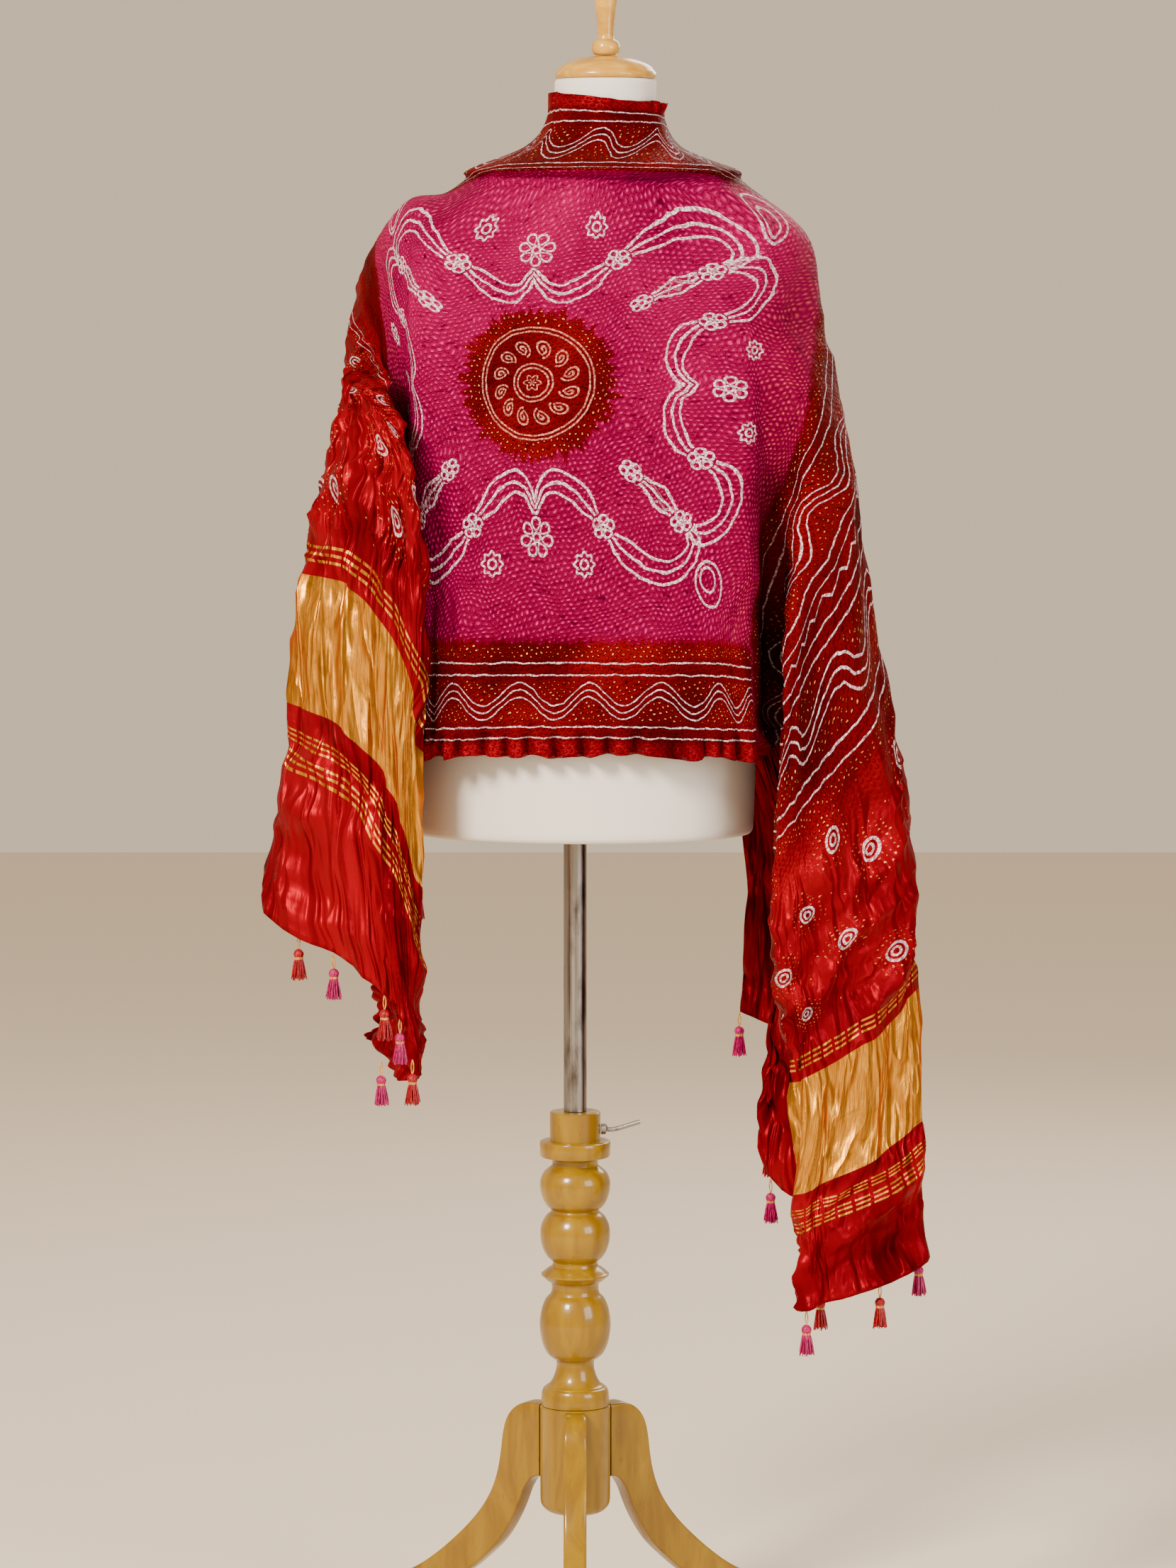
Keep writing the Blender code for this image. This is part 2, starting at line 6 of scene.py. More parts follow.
import bmesh
import bpy
import numpy as np
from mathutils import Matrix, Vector


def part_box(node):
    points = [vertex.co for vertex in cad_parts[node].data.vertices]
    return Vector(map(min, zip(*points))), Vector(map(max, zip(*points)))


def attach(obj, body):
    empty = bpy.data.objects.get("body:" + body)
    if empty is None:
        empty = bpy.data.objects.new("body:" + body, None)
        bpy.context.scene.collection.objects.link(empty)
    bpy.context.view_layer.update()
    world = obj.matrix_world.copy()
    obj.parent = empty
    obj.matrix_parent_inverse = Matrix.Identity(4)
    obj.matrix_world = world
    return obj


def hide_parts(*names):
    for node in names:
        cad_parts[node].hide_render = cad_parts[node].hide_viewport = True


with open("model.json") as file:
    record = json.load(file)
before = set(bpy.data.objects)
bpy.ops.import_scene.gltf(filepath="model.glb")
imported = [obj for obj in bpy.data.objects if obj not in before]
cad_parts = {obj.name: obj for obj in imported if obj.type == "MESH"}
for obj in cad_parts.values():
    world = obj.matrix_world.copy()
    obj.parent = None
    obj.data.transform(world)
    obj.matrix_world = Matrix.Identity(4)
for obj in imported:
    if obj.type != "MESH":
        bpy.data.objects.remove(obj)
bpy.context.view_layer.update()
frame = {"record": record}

# The pole stands on the stand's own axis, so its box gives the place of that axis.
pole_low, pole_high = (np.array(corner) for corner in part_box("pole"))
AXIS = np.array([(pole_low[0] + pole_high[0]) / 2, (pole_low[1] + pole_high[1]) / 2, 0.0])


# ---- the camera, at the photograph's height and distance

CAMERA_AT = (0.013, -5.50, 1.380)
CAMERA_AIM = (0.013, 0.0, 0.885)
CAMERA_LENS = 125.8

camera = bpy.data.objects.new("camera", bpy.data.cameras.new("camera"))
camera.location = Vector(CAMERA_AT) + Vector(AXIS)
camera.rotation_euler = (Vector(CAMERA_AIM) - Vector(CAMERA_AT)).to_track_quat("-Z", "Y").to_euler()
camera.data.lens = CAMERA_LENS
camera.data.sensor_width = 36
camera.data.clip_end = 60
bpy.context.scene.collection.objects.link(camera)
bpy.context.scene.camera = camera


# ---- the drape, from the same tables as the solid

HALF_LENGTH = 1.17
WIDTH = 0.74
FOLD_ROUNDNESS = 0.6
BASE_X = 0.008
BASE_Z = 0.835
LEAN = 0.030
SHOULDER_LIFT = 0.022
NECK_TILT = 0.0065
ACROSS = (0.0, 0.14, 0.373, 0.606, 0.74)

# level, height, half_width, back_depth, front_depth
YOKE = (
    (1.606, 1.573, 0.0570, 0.0590, 0.0570),
    (1.580, 1.549, 0.0600, 0.0630, 0.0590),
    (1.554, 1.524, 0.0780, 0.0780, 0.0650),
    (1.522, 1.498, 0.138, 0.125, 0.078),
    (1.506, 1.492, 0.137, 0.104, 0.080),
    (1.485, 1.479, 0.152, 0.114, 0.088),
    (1.440, 1.442, 0.200, 0.124, 0.106),
)
# middle, mouth, valley_in, valley_out, fold, outer, pleat, turn, edge
PLACES = (0.0, 1.0, 1.75, 2.25, 3.0, 4.0, 5.0, 6.0, 7.0)
YOKE_ANGLES = (0, 50, 59, 65, 74, 92, 122, 143, 160)

# level, the back's y, then x and y at each place from mouth to edge
RIGHT = (
    (1.360, -0.131, 0.158, -0.110, 0.182, -0.098, 0.198, -0.086, 0.214, -0.066, 0.246, -0.010, 0.215, 0.075, 0.165, 0.112, 0.100, 0.130),
    (1.300, -0.133, 0.161, -0.112, 0.184, -0.099, 0.202, -0.092, 0.224, -0.084, 0.258, -0.015, 0.220, 0.080, 0.170, 0.117, 0.107, 0.138),
    (1.246, -0.134, 0.165, -0.114, 0.186, -0.098, 0.206, -0.092, 0.232, -0.098, 0.270, -0.020, 0.225, 0.085, 0.175, 0.122, 0.115, 0.145),
    (1.130, -0.137, 0.170, -0.118, 0.186, -0.052, 0.211, -0.050, 0.220, -0.122, 0.290, -0.035, 0.230, 0.080, 0.185, 0.122, 0.125, 0.145),
    (0.980, -0.141, 0.174, -0.126, 0.190, -0.008, 0.219, -0.004, 0.210, -0.138, 0.314, -0.045, 0.230, 0.060, 0.200, 0.110, 0.135, 0.140),
    (0.820, -0.143, 0.178, -0.120, 0.198, -0.010, 0.222, -0.008, 0.202, -0.132, 0.334, -0.045, 0.205, 0.045, 0.250, 0.090, 0.172, 0.118),
    (0.600, -0.143, 0.180, -0.110, 0.206, -0.035, 0.232, -0.035, 0.224, -0.112, 0.336, -0.040, 0.190, 0.035, 0.260, 0.075, 0.168, 0.100),
    (0.360, -0.143, 0.180, -0.100, 0.222, -0.040, 0.250, -0.040, 0.232, -0.106, 0.352, -0.040, 0.195, 0.030, 0.270, 0.065, 0.175, 0.090),
)
LEFT = (
    (1.360, -0.131, 0.150, -0.110, 0.168, -0.101, 0.180, -0.094, 0.192, -0.083, 0.214, -0.040, 0.196, 0.040, 0.150, 0.100, 0.080, 0.128),
    (1.300, -0.133, 0.152, -0.110, 0.168, -0.098, 0.184, -0.096, 0.190, -0.112, 0.224, -0.055, 0.210, 0.038, 0.160, 0.102, 0.088, 0.137),
    (1.246, -0.134, 0.154, -0.107, 0.170, -0.060, 0.193, -0.058, 0.168, -0.148, 0.231, -0.070, 0.222, 0.035, 0.170, 0.105, 0.095, 0.145),
    (1.100, -0.137, 0.158, -0.108, 0.174, -0.010, 0.198, -0.006, 0.154, -0.164, 0.260, -0.080, 0.235, 0.030, 0.185, 0.090, 0.110, 0.142),
    (0.950, -0.142, 0.160, -0.116, 0.178, -0.004, 0.202, 0.000, 0.158, -0.164, 0.275, -0.085, 0.240, 0.025, 0.195, 0.075, 0.130, 0.132),
    (0.800, -0.143, 0.162, -0.112, 0.180, -0.010, 0.206, -0.008, 0.160, -0.160, 0.302, -0.085, 0.245, 0.015, 0.205, 0.065, 0.160, 0.112),
    (0.580, -0.143, 0.164, -0.100, 0.186, -0.025, 0.212, -0.023, 0.160, -0.147, 0.300, -0.080, 0.245, 0.010, 0.210, 0.055, 0.170, 0.098),
)
# u, then place and level at each value of ACROSS
LAY = (
    (-1.17, -7.0, 0.780, -5.5, 0.830, -3.50, 0.726, -2.75, 0.600, -2.35, 0.630),
    (-1.04, -7.0, 0.870, -5.6, 0.930, -3.62, 0.885, -2.80, 0.690, -2.45, 0.670),
    (-0.86, -7.0, 1.000, -5.7, 1.080, -3.74, 1.070, -2.80, 0.880, -2.45, 0.790),
    (-0.56, -7.0, 1.220, -5.8, 1.290, -3.70, 1.285, -2.70, 1.130, -2.35, 0.950),
    (-0.43, -7.0, 1.340, -5.2, 1.375, -3.00, 1.300, -2.30, 1.110, -2.10, 0.930),
    (-0.30, -7.0, 1.460, -4.5, 1.430, -2.20, 1.300, -1.60, 1.040, -1.60, 0.910),
    (-0.20, -7.0, 1.550, -3.0, 1.455, -1.30, 1.270, -0.95, 1.040, -0.95, 0.920),
    (-0.10, -4.7, 1.602, -1.0, 1.485, -0.68, 1.270, -0.66, 1.040, -0.66, 0.922),
    (0.00, -0.35, 1.606, -0.35, 1.492, -0.33, 1.270, -0.26, 1.040, -0.26, 0.925),
    (0.10, 3.05, 1.604, 0.20, 1.490, 0.17, 1.270, 0.20, 1.040, 0.20, 0.925),
    (0.20, 7.0, 1.590, 0.88, 1.478, 0.80, 1.265, 0.65, 1.040, 0.66, 0.922),
    (0.30, 7.0, 1.500, 4.6, 1.440, 2.80, 1.255, 0.97, 1.035, 1.10, 0.920),
    (0.43, 7.0, 1.380, 5.6, 1.360, 4.00, 1.210, 2.90, 0.995, 2.20, 0.925),
    (0.56, 7.0, 1.255, 6.0, 1.170, 4.15, 1.010, 2.95, 0.830, 2.50, 0.810),
    (0.86, 7.0, 0.950, 5.9, 0.880, 4.45, 0.720, 2.95, 0.596, 2.45, 0.590),
    (1.04, 7.0, 0.770, 5.9, 0.710, 4.45, 0.550, 2.80, 0.450, 2.35, 0.460),
    (1.17, 7.0, 0.640, 5.9, 0.590, 4.45, 0.440, 2.80, 0.366, 2.30, 0.390),
)
# height, half_width, half_depth
TORSO = (
    (0.8350, 0.1610, 0.1070),
    (0.8354, 0.1660, 0.1120),
    (0.8370, 0.1692, 0.1150),
    (0.8400, 0.1708, 0.1170),
    (0.8460, 0.1716, 0.1180),
    (0.9000, 0.1718, 0.1188),
    (1.0000, 0.1580, 0.1080),
    (1.1000, 0.1380, 0.0930),
    (1.2000, 0.1440, 0.1000),
    (1.3000, 0.1580, 0.1120),
    (1.3700, 0.1700, 0.1060),
    (1.4150, 0.1760, 0.0960),
    (1.4450, 0.1680, 0.0900),
    (1.4749, 0.1515, 0.0860),
    (1.4880, 0.1100, 0.0720),
    (1.5000, 0.0680, 0.0560),
    (1.5250, 0.0540, 0.0510),
    (1.5500, 0.0500, 0.0500),
    (1.5860, 0.0508, 0.0508),
    (1.5885, 0.0500, 0.0500),
    (1.5900, 0.0480, 0.0480),
)


def calm_slopes(values, places):
    """Slopes down the first axis: the harmonic mean of the two neighbouring rises, or none at a turn."""
    rise = np.diff(values, axis=0) / np.diff(places).reshape((-1,) + (1,) * (values.ndim - 1))
    before, after = rise[:-1], rise[1:]
    both = before * after
    slopes = np.zeros_like(values)
    slopes[1:-1] = np.where(both > 0, 2 * both / np.where(both > 0, before + after, 1), 0)
    slopes[0], slopes[-1] = rise[0], rise[-1]
    return slopes


def bend(t, step, start, end, slope_start, slope_end):
    """The cubic that leaves start with one slope and reaches end with the other, for t from 0 to 1."""
    return (
        start * (2 * t**3 - 3 * t**2 + 1)
        + end * (3 * t**2 - 2 * t**3)
        + slope_start * step * (t**3 - 2 * t**2 + t)
        + slope_end * step * (t**3 - t**2)
    )


def along(at, places, values, slopes):
    """Rows of values between knots, each by the cubic of the two knots round it."""
    i = np.clip(np.searchsorted(places, at) - 1, 0, len(places) - 2)
    step = places[i + 1] - places[i]
    t = np.clip((at - places[i]) / step, 0, 1)
    shape = t.shape + (1,) * (values.ndim - 1)
    return bend(t.reshape(shape), step.reshape(shape), values[i], values[i + 1], slopes[i], slopes[i + 1])


def knot_rows(rows, side):
    """Levels and knots of one side: ovals on the yoke, and the table's own x and y below it."""
    levels, knots = [], []
    for level, height, half, back, front in YOKE:
        line = []
        for angle in YOKE_ANGLES:
            turn = math.radians(angle)
            depth = back if angle < 90 else front
            x = half * math.sin(turn) * side + BASE_X + (height - BASE_Z) * LEAN
            line.append((x, -depth * math.cos(turn), height))
        levels.append(level)
        knots.append(line)
    for level, back_y, *flat in rows:
        line = [(BASE_X + (level - BASE_Z) * LEAN, back_y, level)]
        line += [(x * side, y, level) for x, y in zip(flat[0::2], flat[1::2])]
        levels.append(level)
        knots.append(line)
    return np.array(levels[::-1]), np.array(knots[::-1])


def hang(place, level):
    """Points of the folds: knots drawn down to the level first, then a curve round through them."""
    sides = []
    for rows, side in ((RIGHT, 1), (LEFT, -1)):
        levels, knots = knot_rows(rows, side)
        sides.append(along(level, levels, knots, np.gradient(knots, levels, axis=0)))
    ring = np.swapaxes(np.concatenate([sides[1][:, :0:-1], sides[0]], axis=1), 0, 1)
    places = np.array([-p for p in PLACES[:0:-1]] + list(PLACES))
    slopes = FOLD_ROUNDNESS * np.gradient(ring, places, axis=0) + (1 - FOLD_ROUNDNESS) * calm_slopes(ring, places)
    place = np.clip(place, places[0], places[-1])
    i = np.clip(np.searchsorted(places, place) - 1, 0, len(places) - 2)
    step = (places[i + 1] - places[i])[:, None]
    t = (place - places[i])[:, None] / step
    row = np.arange(len(place))
    return bend(t, step, ring[i, row], ring[i + 1, row], slopes[i, row], slopes[i + 1, row])


def ease(low, high, x):
    """0 below low and 1 above high, with a smooth step between."""
    t = np.clip((x - low) / (high - low), 0, 1)
    return t * t * (3 - 2 * t)


def lift(x, z):
    """How much higher the left shoulder is held: the form stands a little crooked."""
    reach = ease(1.30, 1.41, z) * (1 - 0.5 * ease(1.475, 1.505, z))
    return SHOULDER_LIFT * ease(0.12, 0.17, -x) * reach


def laid(u, v):
    """Where flat places of the cloth lie: LAY turns u and v into a place and a level of the folds."""
    table = np.array(LAY)
    places = np.array(ACROSS)
    values = table[:, 1:].reshape(-1, 5, 2)
    lines = np.swapaxes(along(u.ravel(), table[:, 0], values, calm_slopes(values, table[:, 0])), 0, 1)
    slopes = calm_slopes(lines, places)
    at = v.ravel()
    i = np.clip(np.searchsorted(places, at) - 1, 0, len(places) - 2)
    step = places[i + 1] - places[i]
    t = ((at - places[i]) / step)[:, None]
    col = np.arange(len(at))
    where = bend(t, step[:, None], lines[i, col], lines[i + 1, col], slopes[i, col], slopes[i + 1, col])
    points = hang(where[:, 0], where[:, 1])
    points[:, 2] += lift(points[:, 0], points[:, 2])
    # The hem round the neck sits a little lower on the right.
    tilt = NECK_TILT * np.clip((points[:, 0] - 0.03) / 0.055, -1, 1)
    points[:, 2] -= tilt * ease(1.535, 1.580, points[:, 2])
    return points.reshape(u.shape + (3,))


# ---- small tools for surfaces

def cloudy(a, b, seed):
    """Smooth unevenness from -1 to 1: seeded values on a lattice, eased from one to the next."""
    values = np.random.default_rng(seed).uniform(-1, 1, (64, 64))
    i, j = np.floor(a).astype(int), np.floor(b).astype(int)
    s, t = a - i, b - j
    s, t = s * s * (3 - 2 * s), t * t * (3 - 2 * t)
    low = values[i % 64, j % 64] * (1 - s) + values[(i + 1) % 64, j % 64] * s
    high = values[i % 64, (j + 1) % 64] * (1 - s) + values[(i + 1) % 64, (j + 1) % 64] * s
    return low * (1 - t) + high * t


def quads(rows, cols, closed=False):
    """The faces of a grid, whose last column meets its first when it is closed."""
    a, b = np.meshgrid(np.arange(rows - 1), np.arange(cols if closed else cols - 1), indexing="ij")
    n = (b + 1) % cols
    return np.stack([a * cols + b, a * cols + n, (a + 1) * cols + n, (a + 1) * cols + b], -1).reshape(-1, 4)


def piece(name, points, faces, materials, smooth=True, which=None, turn=True):
    """One finished piece, at the origin, with its faces turned outwards and its materials on it."""
    mesh = bpy.data.meshes.new(name)
    mesh.from_pydata(np.asarray(points).reshape(-1, 3).tolist(), [], [tuple(int(k) for k in f) for f in faces])
    for finish in materials:
        mesh.materials.append(finish)
    if which is not None:
        mesh.polygons.foreach_set("material_index", np.asarray(which, dtype=np.int32))
    if turn:
        work = bmesh.new()
        work.from_mesh(mesh)
        bmesh.ops.recalc_face_normals(work, faces=work.faces)
        work.to_mesh(mesh)
        work.free()
    if smooth:
        mesh.polygons.foreach_set("use_smooth", [len(f) <= 4 for f in faces])
    made = bpy.data.objects.new(name, mesh)
    bpy.context.scene.collection.objects.link(made)
    return made


def finish_edges(made, angle=35):
    """Sharp edges kept sharp on a smooth piece."""
    made.data.set_sharp_from_angle(angle=math.radians(angle))
    return made


def smooth_line(points, steps, closed=False):
    """A curve through points: each stretch is the cubic whose slopes come from the neighbouring points."""
    p = np.array(points, float)
    if closed:
        before, after, nxt = np.roll(p, 1, 0), np.roll(p, -2, 0), np.roll(p, -1, 0)
    else:
        whole = np.concatenate([[2 * p[0] - p[1]], p, [2 * p[-1] - p[-2]]])
        before, p, nxt, after = whole[:-3], whole[1:-2], whole[2:-1], whole[3:]
    t = np.linspace(0, 1, steps, endpoint=False)[None, :, None]
    curve = bend(t, 1, p[:, None], nxt[:, None], (nxt - before)[:, None] / 2, (after - p)[:, None] / 2)
    curve = curve.reshape(-1, curve.shape[-1])
    return curve if closed else np.concatenate([curve, nxt[-1:]])


def turned(name, groups, middle, base, material, sides=96, steps=6):
    """A turned piece: each group of (radius, height) is one smooth run, and runs meet at a crisp edge."""
    outline = np.concatenate([smooth_line(g, steps) if len(g) > 2 else np.array(g, float) for g in groups])
    keep = np.concatenate([[True], np.linalg.norm(np.diff(outline, axis=0), axis=1) > 1e-6])
    r, z = outline[keep].T
    a = np.linspace(0, 2 * math.pi, sides, endpoint=False)
    ring = np.stack([
        middle[0] + r[:, None] * np.cos(a),
        middle[1] + r[:, None] * np.sin(a),
        base + z[:, None] + 0 * a,
    ], -1)
    faces = [tuple(f) for f in quads(len(r), sides, True)]
    faces += [tuple(range(sides)), tuple(range((len(r) - 1) * sides, len(r) * sides))]
    return finish_edges(piece(name, ring, faces, [material]), 40)


def tubes(paths, radii, sides):
    """Round threads along many paths of equally many points, each with its own radius at each point."""
    count, length, _ = paths.shape
    run = np.gradient(paths, axis=1)
    run /= np.linalg.norm(run, axis=2, keepdims=True)
    side = np.cross(run, [0.35, 0.9, 0.2])
    side /= np.linalg.norm(side, axis=2, keepdims=True)
    up = np.cross(run, side)
    a = np.linspace(0, 2 * math.pi, sides, endpoint=False)
    ring = side[:, :, None] * np.cos(a)[:, None] + up[:, :, None] * np.sin(a)[:, None]
    points = paths[:, :, None] + ring * radii[:, :, None, None]
    one = quads(length, sides, True)
    starts = np.arange(count) * length * sides
    faces = [tuple(f) for s in starts for f in one + s]
    for s in starts:
        faces.append(tuple(range(s, s + sides)))
        faces.append(tuple(range(s + (length - 1) * sides, s + length * sides)))
    return points.reshape(-1, 3), faces


# ---- materials

def paint(code):
    """An sRGB hex colour as the linear values that a shader takes."""
    values = [int(code[k : k + 2], 16) / 255 for k in (1, 3, 5)]
    return (*[c / 12.92 if c <= 0.04045 else ((c + 0.055) / 1.055) ** 2.4 for c in values], 1.0)


def put(tree, kind, *inputs, named=None, **settings):
    """Adds a node with its settings, and fills its sockets in order, or by name, with values or other nodes."""
    made = tree.nodes.new("ShaderNode" + kind)
    for name, value in settings.items():
        setattr(made, name, value)
    filled = list(zip(made.inputs, inputs)) + [(made.inputs[k], v) for k, v in (named or {}).items()]
    for socket, value in filled:
        if value is None:
            continue
        if isinstance(value, bpy.types.Node):
            value = value.outputs[0]
        if isinstance(value, bpy.types.NodeSocket):
            tree.links.new(value, socket)
        else:
            socket.default_value = value
    return made


def new_material(name):
    """An empty material with its tree, shader and output."""
    made = bpy.data.materials.new(name)
    made.use_nodes = True
    tree = made.node_tree
    return made, tree, tree.nodes["Principled BSDF"]


def join(tree, shader, **sockets):
    """Values and links on a shader's own sockets, with _ for a space in a name."""
    for name, value in sockets.items():
        socket = shader.inputs[name.replace("_", " ")]
        if isinstance(value, bpy.types.Node):
            value = value.outputs[0]
        if isinstance(value, bpy.types.NodeSocket):
            tree.links.new(value, socket)
        else:
            socket.default_value = value


def total(tree, nodes, operation="MAXIMUM"):
    """Many masks brought together two at a time."""
    whole = nodes[0]
    for n in nodes[1:]:
        whole = put(tree, "Math", whole, n, operation=operation)
    return whole


PINK_HALF = 0.30
PINK_TOP = 0.127
PINK_BOTTOM = 0.606
HEART = (0.0, 0.355)
LINE = 0.0009
VINE_LINE = 0.0015
DOT_PITCH = 0.0066


def bandhani_silk(name, outer):
    """Tie-dyed silk: pink with a red heart, red borders with resist lines, satin ends with gold bands.

    Every tied point leaves a pale dot and a small pucker. Dots sit about 7 mm apart in rows that
    wander, and a white line is a row of ties about 2.4 mm wide. The ends are smooth satin. The dye
    goes through to the wrong side, but the gold is woven on the outer side alone.
    """
    made, t, shader = new_material(name)
    flat = put(t, "SeparateXYZ", put(t, "Attribute", attribute_name="flat").outputs["Vector"])
    u, v = flat.outputs[0], flat.outputs[1]
    vine = put(t, "SeparateXYZ", put(t, "Attribute", attribute_name="vine").outputs["Vector"])
    motif = put(t, "SeparateXYZ", put(t, "Attribute", attribute_name="motif").outputs["Vector"])
    form = put(t, "SeparateXYZ", put(t, "Attribute", attribute_name="form").outputs["Vector"])
    nearest = put(t, "SeparateXYZ", put(t, "Attribute", attribute_name="nearest").outputs["Vector"])

    far = put(t, "Math", u, operation="ABSOLUTE")
    side = put(t, "Math", far, PINK_HALF, operation="GREATER_THAN")
    below = put(t, "Math", v, PINK_BOTTOM, operation="SUBTRACT")
    above = put(t, "Math", PINK_TOP, v, operation="SUBTRACT")
    updown = put(t, "Math", put(t, "Math", below, above, operation="MAXIMUM"), 1.12, operation="MULTIPLY")
    beside = put(t, "Math", far, PINK_HALF, operation="SUBTRACT")
    out = put(t, "Math", side, put(t, "Math", beside, updown, operation="SUBTRACT"), updown, operation="MULTIPLY_ADD")
    run = put(t, "Math", side, put(t, "Math", v, u, operation="SUBTRACT"), u, operation="MULTIPLY_ADD")

    # Unevenness of the hand-tied work, a few mm wide, and the wander of its rows.
    place = put(t, "CombineXYZ", u, v, 0.0)
    wander = put(t, "TexNoise", named={"Vector": place, "Scale": 75.0, "Detail": 2.0})
    cloud = put(t, "TexNoise", named={"Vector": place, "Scale": 9.0, "Detail": 3.0})
    fine = put(t, "TexNoise", named={"Vector": place, "Scale": 400.0, "Detail": 1.0})
    slow = put(t, "SeparateXYZ", put(t, "TexNoise", named={"Vector": place, "Scale": 13.0, "Detail": 2.0}).outputs["Color"])
    shake = put(t, "Math", put(t, "Math", wander, 0.5, operation="SUBTRACT"), 0.006, operation="MULTIPLY")

    # Border lines: two straight, three waved, two straight, a zigzag on the sides, then the same again.
    turned_out = put(t, "Math", put(t, "Math", out, 0.146, operation="SUBTRACT"), operation="ABSOLUTE")
    across = put(t, "Math", 0.146, turned_out, operation="SUBTRACT")
    across = put(t, "Math", across, shake, operation="ADD")
    lines = [put(t, "Math", across, at, LINE, operation="COMPARE") for at in (0.031, 0.046, 0.112, 0.126)]
    swing = put(t, "Math", put(t, "Math", run, 2 * math.pi / 0.079, operation="MULTIPLY"), operation="SINE")
    reach = put(t, "Math", side, 0.0040, -0.0145, operation="MULTIPLY_ADD")
    wave = put(t, "Math", swing, reach, put(t, "Math", across, 0.079, operation="SUBTRACT"), operation="MULTIPLY_ADD")
    lines += [put(t, "Math", wave, at, LINE, operation="COMPARE") for at in (-0.0090, 0.0, 0.0090)]
    teeth = put(t, "Math", put(t, "Math", run, 0.012, operation="PINGPONG"), 0.0060, operation="SUBTRACT")
    zig = put(t, "Math", put(t, "Math", out, 0.146, operation="SUBTRACT"), teeth, operation="SUBTRACT")
    zig = put(t, "Math", put(t, "Math", shake, 0.4, operation="MULTIPLY"), zig, operation="ADD")
    zig = put(t, "Math", put(t, "Math", zig, 0.0, 0.0016, operation="COMPARE"), side, operation="MULTIPLY")
    lines.append(zig)
    in_border = put(t, "Math", out, 0.01, operation="GREATER_THAN")
    # On the left the border is folded away, but for its last two lines.
    left = put(t, "Math", u, 0.0, operation="LESS_THAN")
    open_part = put(t, "Math", put(t, "Math", far, 0.4175, 0.1175, operation="COMPARE"), left, operation="MULTIPLY")
    open_part = put(t, "Math", 1.0, open_part, operation="SUBTRACT")
    border_lines = total(t, [total(t, lines), in_border, open_part], "MULTIPLY")

    # The red heart: ragged rays outside, two double rings, small curls between them, a rosette inside.
    du = put(t, "Math", put(t, "Math", u, HEART[0], operation="SUBTRACT"), 0.93, operation="MULTIPLY")
    dv = put(t, "Math", put(t, "Math", v, HEART[1], operation="SUBTRACT"), 1.05, operation="MULTIPLY")
    reach = put(t, "VectorMath", put(t, "CombineXYZ", du, dv, 0.0), operation="LENGTH").outputs["Value"]
    turn = put(t, "Math", dv, du, operation="ARCTAN2")
    rays = put(t, "TexNoise", named={"Vector": put(t, "CombineXYZ", put(t, "Math", turn, 9.0, operation="MULTIPLY"),
               put(t, "Math", reach, 25.0, operation="MULTIPLY"), 0.0), "Scale": 1.6, "Detail": 3.0})
    ragged = put(t, "Math", rays, 0.050, put(t, "Math", reach, 0.025, operation="SUBTRACT"), operation="MULTIPLY_ADD")
    heart = put(t, "MapRange", ragged, 0.0800, 0.0870, 1.0, 0.0)
    shaken = put(t, "Math", shake, 0.45, reach, operation="MULTIPLY_ADD")
    rings = [put(t, "Math", shaken, at, 0.0009, operation="COMPARE") for at in (0.0615, 0.0570, 0.0205, 0.0160)]
    beat = put(t, "Math", put(t, "Math", turn, 12 / (2 * math.pi), operation="MULTIPLY"), operation="FRACT")
    small_y = put(t, "Math", put(t, "Math", beat, 0.5, operation="SUBTRACT"), 0.0199 / 0.0072, operation="MULTIPLY")
    small_x = put(t, "Math", put(t, "Math", reach, 0.0385, operation="SUBTRACT"), 0.0095, operation="DIVIDE")
    small_y = put(t, "Math", small_x, 0.35, small_y, operation="MULTIPLY_ADD")
    small = put(t, "VectorMath", put(t, "CombineXYZ", small_x, small_y, 0.0), operation="LENGTH").outputs["Value"]
    small_turn = put(t, "Math", put(t, "Math", small_y, small_x, operation="ARCTAN2"), -0.055, operation="MULTIPLY")
    curl = put(t, "Math", small, small_turn, operation="ADD")
    rings.append(put(t, "Math", curl, 0.84, 0.11, operation="COMPARE"))
    rings.append(put(t, "Math", curl, 0.30, 0.13, operation="COMPARE"))
    bloom = put(t, "Math", put(t, "Math", turn, 6.0, operation="MULTIPLY"), operation="COSINE")
    bloom = put(t, "Math", bloom, -0.0016, reach, operation="MULTIPLY_ADD")
    rings += [put(t, "Math", bloom, at, 0.0009, operation="COMPARE") for at in (0.0072, 0.0018)]
    heart_lines = put(t, "Math", total(t, rings), heart, operation="MULTIPLY")

